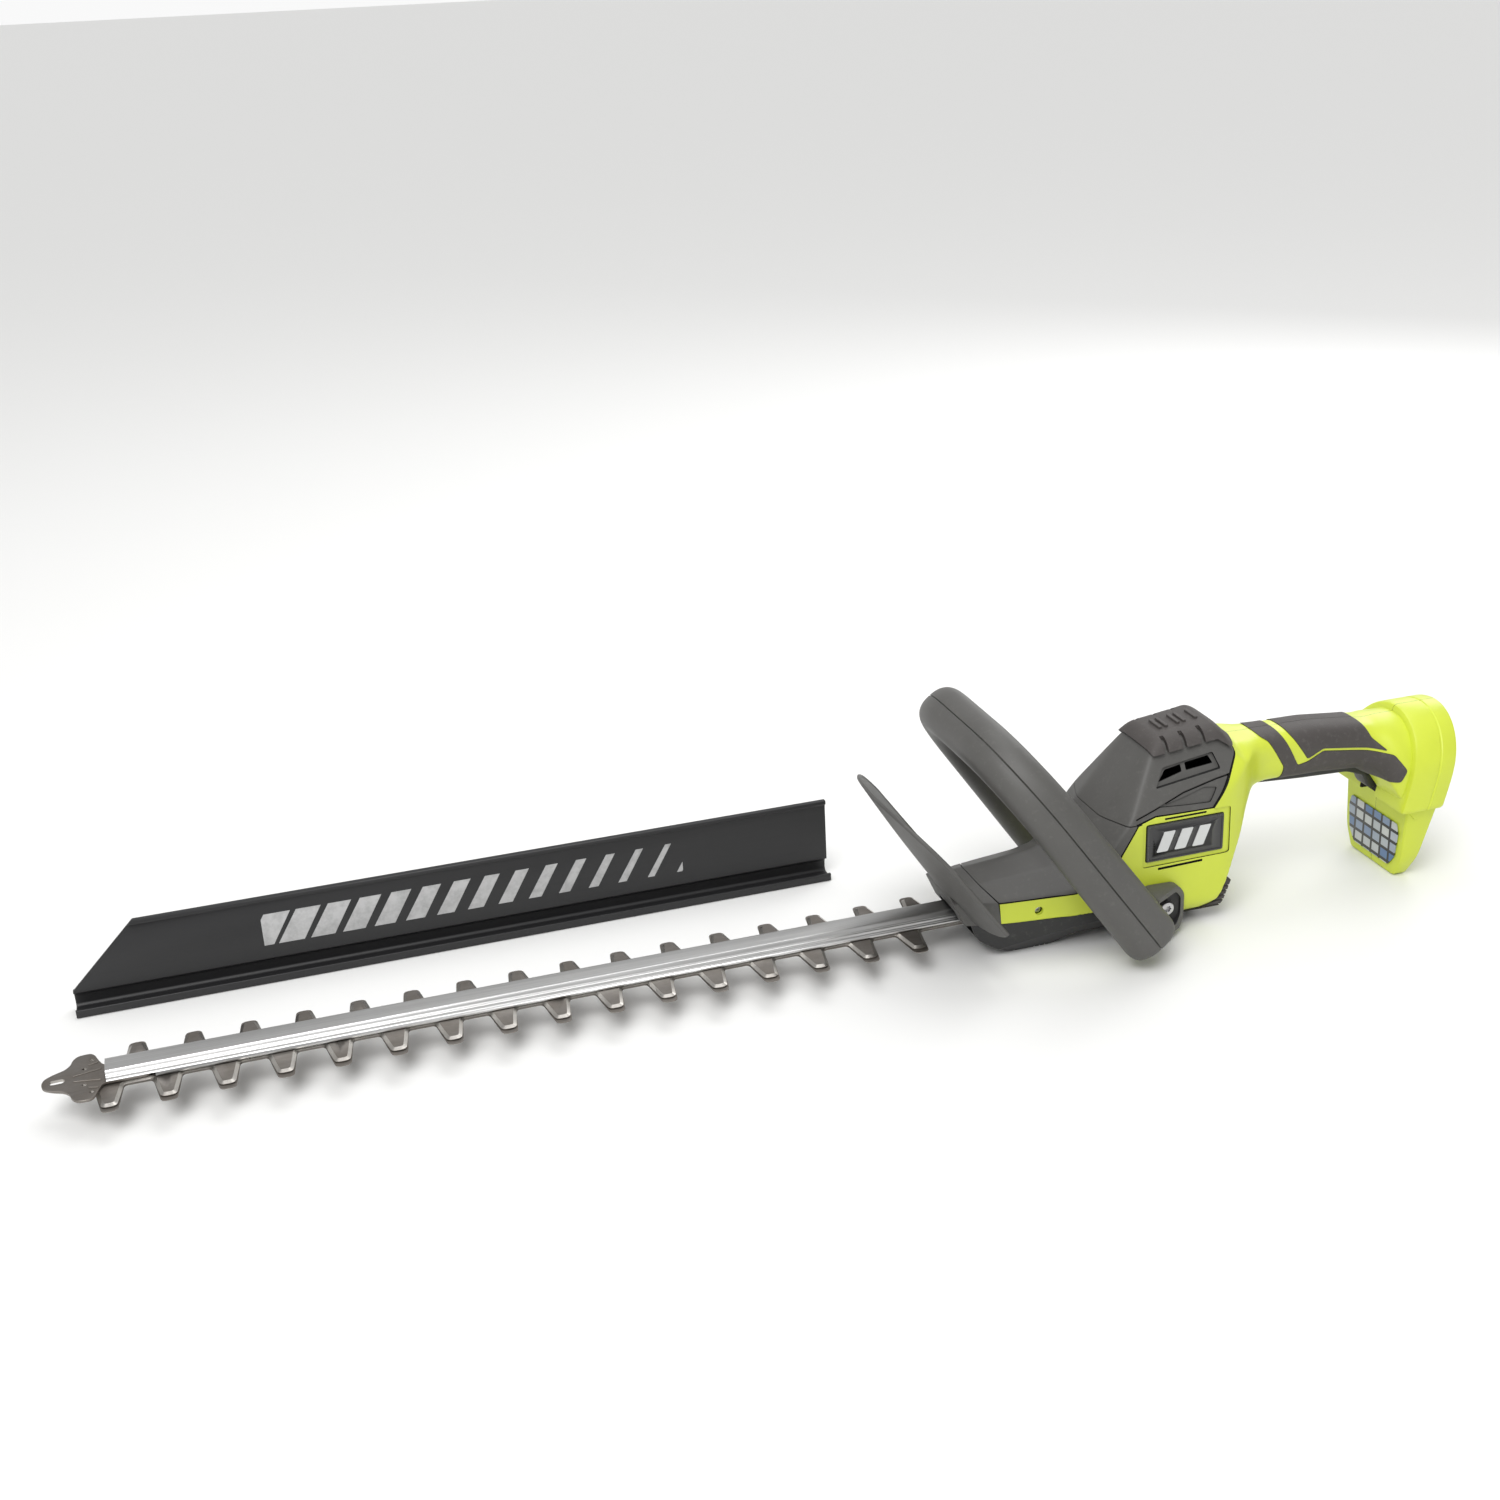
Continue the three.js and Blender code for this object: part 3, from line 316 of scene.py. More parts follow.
def slab(name, outline, low, high, axis, material, ease=0.0, smooth=28.0):
    """An outline carried straight along an axis, with its two rims rounded over by a quarter
    turn of radius ease."""
    turn = np.linspace(0, math.pi / 2, 4) if ease else np.array([math.pi / 2])
    first = [(ease * (1 - math.sin(t)), low + ease * (1 - math.cos(t))) for t in turn]
    last = [(i, high + low - h) for i, h in first[::-1]]
    rings = [on_axis(inset(outline, i), h, axis) for i, h in first + last]
    return rings_piece(name, rings, material, smooth)


def carve(piece, tools, how="DIFFERENCE", folded=False):
    """Cuts each tool out of the piece, joins it on, or keeps what both share; tools are used up.
    A folded tool is one whose faces may cross each other."""
    for tool in tools:
        cut = piece.modifiers.new("carve", "BOOLEAN")
        cut.operation = how
        cut.object = tool
        cut.solver = "EXACT"
        cut.use_self = folded
        cut.material_mode = "TRANSFER"
    bpy.context.view_layer.update()
    old = piece.data
    piece.data = bpy.data.meshes.new_from_object(piece.evaluated_get(
        bpy.context.evaluated_depsgraph_get()))
    piece.modifiers.clear()
    bpy.data.meshes.remove(old)
    for tool in tools:
        bpy.data.objects.remove(tool)
    return piece


def worn_edges(piece, width, angle):
    """The piece's sharp edges are broken by a narrow rounded bevel."""
    ease = piece.modifiers.new("edges", "BEVEL")
    ease.width = width * MM
    ease.segments = 2
    ease.limit_method = "ANGLE"
    ease.angle_limit = math.radians(angle)
    ease.harden_normals = False
    return piece


def settle(piece, body, slot, *nodes):
    """The piece rides on a body and stands for its CAD nodes; the slot is not used."""
    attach(piece, body)
    if nodes:
        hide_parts(*nodes)
    return piece


tooth_pitch, tooth_count, first_tooth = 31.0, 16, -581.0
spine_half, ground_wide = 10.5, 1.9
bolt_xs = -557.75 + np.arange(5) * 110.44


def tooth_row(phase, side, tip):
    """One toothed edge: a single tooth's outline repeated at the pitch, from tip end to tail."""
    half = np.array([(-9.6, 0), (-8.6, 0.35), (-7.9, 1.2), (-7.5, 2.4), (-6.0, (tip - 10.5) * 0.52),
                     (-4.75, tip - 10.5 - 3.4), (-4.4, tip - 10.5 - 1.9), (-3.6, tip - 10.5 - 0.75),
                     (-2.3, tip - 10.5 - 0.15), (-0.8, tip - 10.5)])
    tooth = np.concatenate([half, half[::-1] * (-1, 1)])
    x = first_tooth + (np.arange(tooth_count) + phase) * tooth_pitch
    row = np.stack([x[:, None] + tooth[None, :, 0],
                    np.broadcast_to(side * (spine_half + tooth[None, :, 1]), (tooth_count, len(tooth)))], -1)
    return row.reshape(-1, 2)


def comb(name, tip, flat_z, outer_z):
    """A blade: its outline at the shearing face, the same outline a third of the way up, and the
    ground inner outline at the outer face, with the yoke joined on and the slots cut."""
    outline = np.concatenate([
        [(-595, 4.5), (-595, -4.5), (-592.5, -9)], tooth_row(0.0, -1, tip), [(-16, -10.5), (-16, 10.5)],
        tooth_row(0.5, 1, tip)[::-1], [(-592.5, 9)]])
    step = 0.3 * (outer_z - flat_z)
    rings = [on_axis(outline, flat_z, "z"), on_axis(outline, flat_z + step, "z"),
             on_axis(inset(outline, ground_wide), outer_z, "z")]
    blade = rings_piece(name, rings, blade_steel, 20.0)
    blade.data.materials.append(ground_steel)
    ground = np.zeros(len(blade.data.polygons), int)
    ground[len(outline):2 * len(outline)] = 1
    blade.data.polygons.foreach_set("material_index", ground)
    low, high = min(flat_z, outer_z), max(flat_z, outer_z)
    yoke = slab("yoke", [(-22, -25.6), (19.4, -25.6), (19.4, 25.6), (-22, 25.6)], low, high, "z", blade_steel)
    carve(blade, [yoke], "UNION")
    openings = [slab("crank_slot", [(-14.42, -21.1), (14.42, -21.1), (14.42, 21.1), (-14.42, 21.1)],
                     10, 24, "z", blade_steel)]
    angle = np.linspace(-math.pi / 2, math.pi / 2, 9)
    end = np.stack([8.3 + 2.8 * np.cos(angle), 2.8 * np.sin(angle)], 1)
    stadium = np.concatenate([end, -end])
    openings += [slab("bolt_slot", stadium + (x, 0), 10, 24, "z", blade_steel) for x in bolt_xs]
    return carve(blade, openings)


settle(comb("lower_comb", 34.5, 17.6, 16.0), "lower_blade", "blade_steel", "lower_blade")
settle(comb("upper_comb", 31.0, 17.9, 19.5), "upper_blade", "blade_steel", "upper_blade")

# ---- Stiffener bar -----------------------------------------------------------------------------
# A bright drawn aluminium section that holds both combs flat. It has a stepped back with two
# grooves along each side, cut square at both ends.
bright_bar = wired("drawn_aluminium", worked, (0.66, 0.66, 0.655), 0.34, 1.0, bump=0.06,
                   Stretch=(9.0, 1100.0, 1100.0), Smudge=0.12)
bar_side = [(11.0, 19.8), (11.0, 21.0), (10.2, 21.5), (10.2, 21.9), (9.6, 22.2), (9.2, 23.7), (8.5, 23.9),
            (8.5, 24.2), (8.0, 24.5), (7.4, 25.7), (6.7, 26.8)]
bar_section = bar_side + [(-y, z) for y, z in bar_side[::-1]]
bar = slab("stiffener_bar", rounded(bar_section, 0.45, 4), -582, -58.3, "x", bright_bar, 0.25)
carve(bar, [slab("tongue_notch", [(-590, -30), (-556, -30), (-556, 30), (-590, 30)], 15, 21.7, "z", bright_bar)])
settle(bar, "trimmer_body", "bright_aluminium", "blade_stiffener")

# ---- Tip guard ---------------------------------------------------------------------------------
# A pressed steel nose plate with two swept ears and an eye to hang the tool by. Its tongue is
# bolted under the end of the bar.
eye_x = -608.0
ear = [(-8, 1.6), (-7, 5), (-2.5, 8.5), (4, 11.5), (7, 15.5), (8, 20.5), (11, 24.3), (17.5, 24.8), (20, 22.5),
       (22, 16), (24, 11), (26, 9.5), (49, 9.5)]
guard_outline = [(eye_x + x, y) for x, y in ear] + [(eye_x + x, -y) for x, y in ear[::-1]]
nose_plate = slab("tip_plate", rounded(guard_outline, 2.4, 5), 19.8, 21.4, "z", blade_steel, 0.35)
around = np.linspace(0, 2 * math.pi, 24, endpoint=False)
ring_xy = np.stack([np.cos(around), np.sin(around)], 1)
holes = [slab("eye", ring_xy * (2.3, 2.3) + (eye_x, 0) + np.stack([np.sign(ring_xy[:, 0]) * 1.9, 0 * around], 1),
              15, 25, "z", ground_steel)]
holes += [slab("rivet_hole", ring_xy * 1.3 + (eye_x + x, s * y), 15, 25, "z", ground_steel)
          for x, y in ((14.5, 8.5), (18.5, 17)) for s in (-1, 1)]
holes += [slab("bolt_hole", ring_xy * 2.8 + (bolt_xs[0], 0), 15, 25, "z", ground_steel)]
carve(nose_plate, holes)
ribs = [slab("pressed_rib", rounded([(eye_x + x0, s * y0), (eye_x + x1, s * y1), (eye_x + x1, s * (y1 - 1.4)),
                                     (eye_x + x0, s * (y0 - 1.4))], 0.6, 4), 21.0, 21.85, "z", blade_steel, 0.3)
        for x0, y0, x1, y1 in ((8.5, 3.4, 23.5, 6.6), (16.5, 12.6, 22, 14.2)) for s in (-1, 1)]
carve(nose_plate, ribs, "UNION")
nose_plate.data.set_sharp_from_angle(angle=math.radians(24))
settle(nose_plate, "trimmer_body", "blade_steel", "tip_guard")

# ---- Bar bolts and case screws -----------------------------------------------------------------
# Zinc-plated pan heads with a six-lobed drive. The bar bolts come up through the slots of both
# combs, and the case screws sit in round wells.


def pan_head(name, centre, axis, radius, tall, length, shank, way=1):
    """A turned head with a domed face and a six-lobed socket: the socket wall's radius swings
    by a sixth with six waves a turn, and the shank runs back from the head."""
    t = np.linspace(0, 2 * math.pi, 48, endpoint=False)
    lobe = 0.42 * radius * (1 + 0.16 * np.cos(6 * t))
    profile = [(shank, length), (shank, tall), (radius * 0.96, tall), (radius, tall * 0.8), (radius, tall * 0.35),
               (radius * 0.9, tall * 0.1), (radius * 0.65, 0.0)]
    rings = [(np.full_like(t, r), h) for r, h in profile]
    rings += [(lobe * 1.08, -0.02), (lobe, 0.12), (lobe * 0.94, tall * 0.6)]
    made = []
    for r, h in rings:
        flat = np.stack([r * np.cos(t), r * np.sin(t)], 1)
        offset = {"x": (centre[1], centre[2]), "y": (centre[0], centre[2]), "z": (centre[0], centre[1])}[axis]
        base = {"x": centre[0], "y": centre[1], "z": centre[2]}[axis]
        made.append(on_axis(flat + offset, base + way * h, axis))
    return rings_piece(name, made, zinc, 35.0)


for i, x in enumerate(bolt_xs):
    settle(pan_head(f"bar_bolt_{i + 1}", (x, 0, 13.4), "z", 5.0, 2.3, 11.4, 2.5), "trimmer_body",
           "zinc_steel", f"blade_bolt_{i + 1}")
for i, (x, y, z) in enumerate([(-46, 19, 1.2), (-46, -19, 1.2), (36, 19, 8.6), (36, -19, 8.6)]):
    settle(pan_head(f"pan_screw_{i + 1}", (x, y, z), "z", 3.0, 2.2, 10.0, 1.5), "trimmer_body",
           "zinc_steel", f"cover_screw_{i + 1}")
for tag, side in (("left", -1), ("right", 1)):
    settle(pan_head(f"{tag}_strip_screw", (-40, side * 30.5, 29), "y", 2.3, 1.8, 6.5, 1.3, -side),
           "trimmer_body", "zinc_steel", f"{tag}_case_screw")
    settle(pan_head(f"{tag}_arm_screw", (40, side * 45, 20), "y", 4.5, 3.2, 13.0, 2.0, -side),
           "trimmer_body", "zinc_steel", f"{tag}_handle_screw")

# ---- Body form ---------------------------------------------------------------------------------
# The nose, the hump over the motor, the lime shells and the rear grip share one outer form. It is
# laid out once, and each moulding is the part of it inside that moulding's own side outline.


def flow(x, points, soft):
    """The straight-line profile through the points, averaged over plus and minus soft."""
    p = np.asarray(points, float)
    shifts = np.linspace(-soft, soft, 9)
    return np.mean([np.interp(x + s, p[:, 0], p[:, 1]) for s in shifts], axis=0)


crest = [(-100, 41.5), (-28, 46.5), (-14, 49.5), (39, 115.5), (44, 118.8), (82, 123.5), (91, 114.4), (97, 109.8),
         (115, 109.3), (157, 108.5), (190, 105), (200, 103.5), (218, 107)]
keel = [(-100, 22.4), (51, 22.4), (53, 8.8), (68, 8.8), (78, 14), (84, 27), (88, 39), (99, 68), (107, 75.5),
        (120, 77), (160, 76.5), (188, 74.5), (200, 66), (209, 51), (218, 38)]
flank = [(-92, 22), (-62, 29.5), (-20, 36), (5, 38), (84, 38), (98, 32), (110, 21.5), (122, 18), (188, 18),
         (198, 20.5), (207, 28), (214, 34.5), (220, 36)]


def half_planes(angle, planes, power):
    """Distance from the centre to a rounded polygon's edge in each direction. Each straight side
    stands at its own distance along its normal, and the sides are blended by a power mean."""
    c, s = np.cos(angle)[None, :], np.sin(angle)[None, :]
    total = 0
    for ny, nz, d in planes:
        total = total + (np.maximum(ny * c + nz * s, 1e-6) / np.reshape(d, (-1, 1))) ** power
    return total ** (-1 / power)


def dock_radius(angle, centre_z, grow=0.0, foot=50.0):
    """The dock's upper outline as distance from a centre on its middle plane: a half round arch of
    radius 39 about z 70 over two upright sides, closed below at the foot height."""
    turns = np.radians(np.arange(0, 181, 12))
    centre_z = np.reshape(centre_z, (-1, 1))
    planes = [(math.cos(a), math.sin(a), 39 + grow - math.sin(a) * (centre_z - 70)) for a in turns]
    planes.append((0, -1, centre_z - np.reshape(foot, (-1, 1)) + grow))
    return half_planes(angle, planes, 44)


def toe_radius(angle, centre_z, grow=0.0):
    """The dock's narrow toe: sides that close from 34 at z 54 to 24 at the ground."""
    planes = [(0, 1, 60 - centre_z), (0, -1, centre_z + grow)]
    for (y0, z0), (y1, z1) in (((34, 54), (31, 14)), ((31, 14), (24, 0))):
        n = np.array([z0 - z1, y1 - y0])
        n = n / np.linalg.norm(n)
        reach = n[0] * y0 + n[1] * (z0 - centre_z) + grow
        planes += [(n[0], n[1], reach), (-n[0], n[1], reach)]
    return half_planes(angle, planes, 44)


def body_form(name, x0, x1, grow, material):
    """The whole outer form between two stations. Each cross-section is a rounded polygon: crest,
    keel, flanks, the broken upper edges and the hump's leaning sides. Toward the grip it turns to
    a soft oval, and toward the dock it opens into the dock's own outline."""
    marks = np.linspace(-100, 220, 3200)
    bend = np.abs(np.gradient(flow(marks, crest, 2.5), marks)) + np.abs(np.gradient(flow(marks, keel, 2.0), marks))
    reach = np.cumsum((1 + 1.3 * np.minimum(bend, 6)) * (marks > x0) * (marks < x1))
    count = int(max(12, (reach[-1] - reach[0]) / 10 / 1.5))
    x = np.interp(np.linspace(reach[0], reach[-1], count), reach + np.arange(len(marks)) * 1e-9, marks)
    x = np.clip(x, x0, x1)
    x[0], x[-1] = x0, x1
    top, foot = flow(x, crest, 2.5) + grow, flow(x, keel, 2.0) - grow
    wide = flow(x, flank, 5) + grow
    to_grip = np.clip((x - 92) / 22, 0, 1)
    to_grip = to_grip * to_grip * (3 - 2 * to_grip)
    to_dock = np.clip((x - 189) / 24, 0, 1)
    to_dock = to_dock * to_dock * (3 - 2 * to_dock)
    centre = 0.5 * (top + foot) * (1 - to_dock) + 76 * to_dock
    shelf = np.interp(x, [-60, -14, 10, 60], [13, 14, 16, 16])
    slope = np.interp(x, [-60, -14, -2, 10], [0.39, 0.42, 0.493, 0.493])
    long = np.sqrt(1 + slope**2)
    sides = 192
    angle = np.linspace(0, 2 * math.pi, sides, endpoint=False) + math.pi / sides
    planes = [(0, 1, top - centre), (0, -1, centre - foot), (1, 0, wide), (-1, 0, wide)]
    for side in (-1, 1):
        planes.append((side * slope[:, None] / long[:, None], 1 / long[:, None],
                       (top + slope * shelf - centre) / long))
        planes.append((side * 0.866, 0.49, 68.6 + 0.1 * x - 0.49 * centre + grow))
        planes.append((side * 0.78, -0.625, np.maximum(0.78 * (wide - 12.8) + 0.625 * centre, 5)))
    crisp = half_planes(angle, planes, 42)
    oval = half_planes(angle, [(0, 1, top - centre), (0, -1, centre - foot), (1, 0, wide), (-1, 0, wide)], 3.2)
    radius = crisp * (1 - to_grip[:, None]) + oval * to_grip[:, None]
    opened = dock_radius(angle, centre, grow - 4.0, foot)
    radius = radius * (1 - to_dock[:, None]) + opened * to_dock[:, None]
    y = radius * np.cos(angle)
    z = centre[:, None] + radius * np.sin(angle)
    return rings_piece(name, np.stack([np.broadcast_to(x[:, None], y.shape), y, z], -1), material, 34.0)


def side_tool(name, outline, y0, y1, material=painted_gap_shade):
    """A cutter: a side outline of (x, z) carried across from one y to another. By default the walls it cuts take the
    near-black painted shade.
    """
    return slab(name, outline, y0, y1, "y", material)


# ---- Lime shells -------------------------------------------------------------------------------
# The two halves of the body, injection moulded in lime plastic and screwed together along the
# middle. They carry the badge panel, the rear grip's core and the battery dock.
outer_form = body_form("outer_form", -96, 219, 0.0, green_plastic)
# The inner form carries the dark moulding, so the inside of every hollowed shell and cover is painted shade, dark where
# it shows through gaps and vents
inner_form = body_form("inner_form", -100, 212, -2.6, dark_plastic)


def twin(form, name, material=None):
    """A free copy of a form, with its own mesh and, where given, its own finish."""
    made = form.copy()
    made.data = form.data.copy()
    made.name = made.data.name = name
    if material:
        made.data.materials.clear()
        made.data.materials.append(material)
    bpy.context.collection.objects.link(made)
    return made


def wall_of(name, outline, material):
    """The part of the body form inside a side outline, hollowed by the inner form, whose dark faces paint shade on the
    inside.
    """
    piece = carve(twin(outer_form, name, material), [side_tool("cut", outline, -70, 70, material)], "INTERSECT")
    return carve(piece, [twin(inner_form, "hollow", dark_plastic)])


def shallow(piece, tools, floor, folded=False):
    """Recesses: the parts of the tools that lie outside the floor form are cut from the piece."""
    first = carve(tools[0], tools[1:], "UNION") if len(tools) > 1 else tools[0]
    carve(first, [floor])
    return carve(piece, [first], "DIFFERENCE", folded)


def both_flanks(name, outline, near, far, material=painted_gap_shade):
    """A side outline carried across both flanks, from |y| near to far. By default the walls it cuts take the near-black
    painted shade.
    """
    return [side_tool(name, outline, *sorted((side * near, side * far)), material) for side in (-1, 1)]


angle = np.linspace(0, 2 * math.pi, 180, endpoint=False)


def dock_solid(name, radius, centre_z, steps, front, lean, rear):
    """Rings of an outline between a leaning front plane and the leaning rear rim. Each step gives
    how far the ring is grown and its share of the way from front to rear."""
    rings = []
    for grow, share in steps:
        r = radius(angle, centre_z, grow).reshape(-1)
        y, z = r * np.cos(angle), centre_z + r * np.sin(angle)
        start = front + lean * z
        rings.append(np.stack([start + (rear + 0.26 * z - start) * share, y, z], 1))
    return rings_piece(name, rings, green_plastic, 34.0)


flange_steps = [(-7.0, 0.0), (-1.8, 0.0), (-0.6, 0.02), (0.0, 0.07), (0.0, 0.58), (-0.5, 0.60), (-0.5, 0.63),
                (0.0, 0.65), (0.0, 0.94), (-0.35, 0.98), (-1.2, 1.0), (-9.0, 1.0)]
flange = dock_solid("flange", dock_radius, 78.0, flange_steps, 192.0, 0.26, 222.0)
toe_steps = [(-6.0, 0.0), (-1.4, 0.0), (-0.4, 0.04), (0.0, 0.12), (0.0, 0.9), (-0.35, 0.97), (-1.2, 1.0), (-9.0, 1.0)]
toe = dock_solid("toe", toe_radius, 30.0, toe_steps, 212.9, 0.0, 222.0)
socket_steps = [(-5.0, 0.0), (-5.0, 0.97), (-3.6, 1.03), (-3.6, 2.0)]
mouth = dock_solid("mouth", dock_radius, 78.0, socket_steps, 223.0, 0.0, 222.0)
low_mouth = carve(dock_solid("low_mouth", toe_radius, 30.0, socket_steps, 223.0, 0.0, 222.0),
                  [slab("sill", [(200, -60), (300, -60), (300, 60), (200, 60)], -20, 8, "z", green_plastic)])
shells = carve(twin(outer_form, "shells"), [flange, toe], "UNION")
carve(shells, [mouth, low_mouth])
rails = [slab("rail", [(s * 34.6, 56), (s * 30, 57.5), (s * 30, 61), (s * 34.6, 62.5)], 222, 237, "x", green_plastic)
         for s in (-1, 1)]
carve(shells, rails, "UNION")
# The front cut, the cover line, the trigger slot, the badge panel, the slots and the field recess keep the near-black
# painted shade on their cut walls, so these gaps and recesses read as dark lines
carve(shells, [side_tool("front_cut", [(-100, 5), (-61.8, 5), (-64.3, 40), (-70, 60), (-100, 60)], -70, 70)])
# The hollow leaves the inside of the shells in the dark moulding, as painted shade
carve(shells, [twin(inner_form, "hollow", dark_plastic)])
covers = [(-66, 36.1), (-64.4, 36.1), (-16.8, 37.1), (7.5, 50.6), (22.4, 75.3), (34, 79.0), (72.5, 78.4), (83, 93.6),
          (92, 109.8), (92.2, 150), (-80, 150), (-80, 36.1)]
tools = [side_tool("above", covers, -60, 60),
         side_tool("trigger_slot", rounded([(113, 60), (113, 86), (211, 86), (211, 40), (190, 40)], 2), -8, 8),
         slab("socket_back", rounded([(-24, 14), (24, 14), (26, 60), (20, 96), (-20, 96), (-26, 60)], 4),
              216.6, 230, "x", dark_plastic)]
tools += both_flanks("panel", rounded([(27.6, 75), (79.9, 75), (79.9, 50), (27.6, 50)], 1.6), 36.9, 60)
tools += [tool for outline in ([(40, 76.3), (68, 76.3), (68, 77.6), (40, 77.6)],
                               [(36, 44.0), (66, 44.6), (66, 46.2), (36, 45.6)])
          for tool in both_flanks("slot", rounded(outline, 0.5), 36.4, 60)]
tools += [slab("well", ring_xy * 2.7 + (-40, 29), *sorted((side * 24, side * 50)), "y", green_plastic)
          for side in (-1, 1)]
carve(shells, tools)
field = both_flanks("field", rounded([(24.8, 79.4), (84.2, 78.4), (84.6, 47.4), (25.6, 47.0)], 2.0), 20, 60)
shallow(shells, field, body_form("field_floor", 0, 110, -0.9, green_plastic))

# ---- Rear grip overmould -----------------------------------------------------------------------
# Soft dark rubber moulded over the grip in an upper and a lower pad each side. A slanted lime
# stripe and a thin lime line are left bare between the pads.
rubber = wired("soft_rubber", moulded, (0.060, 0.053, 0.050), 0.62, bump=0.5, reach=0.0003,
               Grain_size=1300.0, Grain_depth=1.0, Cloud=0.12, Dust=0.12)
upper_pad = rounded([(136.5, 118), (136.5, 108), (148.2, 90.6), (158.8, 95.8), (200.6, 89.8), (192.6, 97.5),
                     (187.5, 111), (187.5, 118)], 1.4)
lower_pad = rounded([(115.5, 118), (116.5, 109), (121, 106), (131.6, 88), (130.5, 74), (150, 70), (193, 69),
                     (206, 70.5), (210, 78), (203.5, 87.4), (159, 94), (148.3, 88.7), (141.4, 87.2), (130.4, 109),
                     (130.4, 118)], 1.4)
pad_form = body_form("pad_form", 108, 214, 0.45, rubber)
seat_form = body_form("seat_form", 106, 216, -1.5, rubber)
finger_room = rounded([(100, 60), (100, 84), (211, 84), (211, 60)], 1)
for tag, side in (("left", -1), ("right", 1)):
    near, far = side * 0.16, side * 60
    for part, outline in (("upper", upper_pad), ("lower", lower_pad)):
        pad = carve(twin(pad_form, f"{tag}_{part}_pad"),
                    [side_tool("pad_cut", outline, *sorted((near, far)), rubber)], "INTERSECT")
        carve(pad, [twin(seat_form, "pad_seat"), side_tool("finger_cut", finger_room, -9, 9, rubber)])
        pad.data.set_sharp_from_angle(angle=math.radians(40))
        settle(pad, "trimmer_body", "soft_grip", f"{tag}_grip_{part}")
bare = [side_tool("pad_room", inset(outline, -0.2), -60, 60, dark_plastic) for outline in (upper_pad, lower_pad)]
seat_room = body_form("seat_room", 104, 218, -1.8, dark_plastic)
shallow(shells, bare, seat_room)
for tag, side in (("left", -1), ("right", 1)):
    low, high = sorted((side * 0.12, side * 90))
    half = carve(twin(shells, f"lime_shell_{tag}"), [
        slab("half", [(-110, -20), (300, -20), (300, 170), (-110, 170)], low, high, "y", dark_plastic)], "INTERSECT")
    half.data.set_sharp_from_angle(angle=math.radians(32))
    settle(half, "trimmer_body", "green_shell", f"{tag}_housing")
for spare in (shells, pad_form, seat_form):
    bpy.data.objects.remove(spare)

# ---- Nose cover and motor cover ----------------------------------------------------------------
# Grey glass-filled mouldings. The low wedge closes the gearcase; the tall faceted hood goes over
# the upright motor, with two vents, a shoulder line and a sunk panel on each flank.
nose_side = [(-64.1, 37.0), (-17, 37.9), (6.6, 51.4), (21.5, 75.6), (-30, 75.6), (-90, 62.8)]
nose = wall_of("nose_cover_shell", nose_side, grey_plastic)
nose.data.set_sharp_from_angle(angle=math.radians(30))
settle(nose, "trimmer_body", "grey_plastic", "nose_cover")
hood_side = [(0, 76.3), (21.8, 76.3), (34, 79.9), (72, 79.3), (82, 94.4), (91, 110.4), (91.2, 150), (0, 150)]
hood = wall_of("motor_hood", hood_side, grey_plastic)
# The vents, the step under the shoulder, the sunk panel and the vent frame keep the near-black painted shade on their
# cut walls; the groove under the shoulder is a painted shadow line
vents = []
for outline in ([(40.2, 97), (56, 101.2), (56, 105.2), (45.6, 103.2)],
                [(58.8, 101.6), (76.2, 103.8), (74.2, 108.2), (58.8, 105.8)]):
    vents += both_flanks("vent", rounded(outline, 0.7), 20, 60)
carve(hood, vents)
shoulder = [(21, 79.8), (34, 84.2), (54, 91.6), (76, 96.8), (92, 99.6)]
below = both_flanks("below_shoulder", shoulder + [(92, 60), (21, 60)], 18, 60)
shallow(hood, below, body_form("step_floor", -20, 104, -1.0, grey_plastic), True)
line = both_flanks("shoulder_line", shoulder + [(x, z - 1.5) for x, z in shoulder[::-1]], 18, 60)
sunk = both_flanks("sunk_panel", rounded([(35.5, 84.2), (70.3, 82.8), (75.4, 91.4), (67.5, 92.2), (52, 87.8)], 1.2),
                   18, 60)
sunk += both_flanks("vent_frame", rounded([(37, 94.4), (79.6, 101.2), (76.6, 110.6), (43.6, 105.2)], 1.2), 18, 60)
shallow(hood, line + sunk, body_form("recess_floor", -20, 104, -2.0, grey_plastic), True)
hood.data.set_sharp_from_angle(angle=math.radians(30))
settle(hood, "trimmer_body", "grey_plastic", "motor_cover")
for node_name in ("motor_can", "motor_rotor"):
    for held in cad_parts[node_name].material_slots:
        held.material = gear_steel

# ---- Bumper cap --------------------------------------------------------------------------------
# A rubber pad over the crown of the motor cover that takes the knocks when the tool is laid on
# its back. It has three notches along each side and raised ribs on top.
cap_side = [(38.4, 112.6), (60, 115.4), (80, 118.0), (87.6, 113.0), (91.2, 113.6), (93.4, 117.0), (90, 150), (30, 150),
            (35.6, 118.4)]
cap = carve(body_form("crown_cap", 20, 104, 2.9, rubber), [side_tool("cap_zone", cap_side, -70, 70, rubber)],
            "INTERSECT")
carve(cap, [body_form("cap_seat", 18, 106, 0.3, rubber)], "DIFFERENCE", True)
notches = [slab("notch", rounded([(x, s * 14.6), (x + 2.6, s * 14.6), (x + 2.6, s * 30), (x, s * 30)], 0.6), 100, 140,
                "z", rubber) for x in (46, 58, 70) for s in (-1, 1)]
carve(cap, notches)
cap_ribs = [slab("cap_rib", rounded([(x, -7), (x + 2.2, -7), (x + 2.2, 7), (x, 7)], 0.9), 120.5,
                 123.35 + 0.118 * (x - 45), "z", rubber, 0.3) for x in (50.2, 54.4, 62.2, 66.4, 74.2)]
carve(cap, cap_ribs, "UNION")
cap.data.set_sharp_from_angle(angle=math.radians(30))
settle(cap, "trimmer_body", "soft_grip", "bumper_cap")

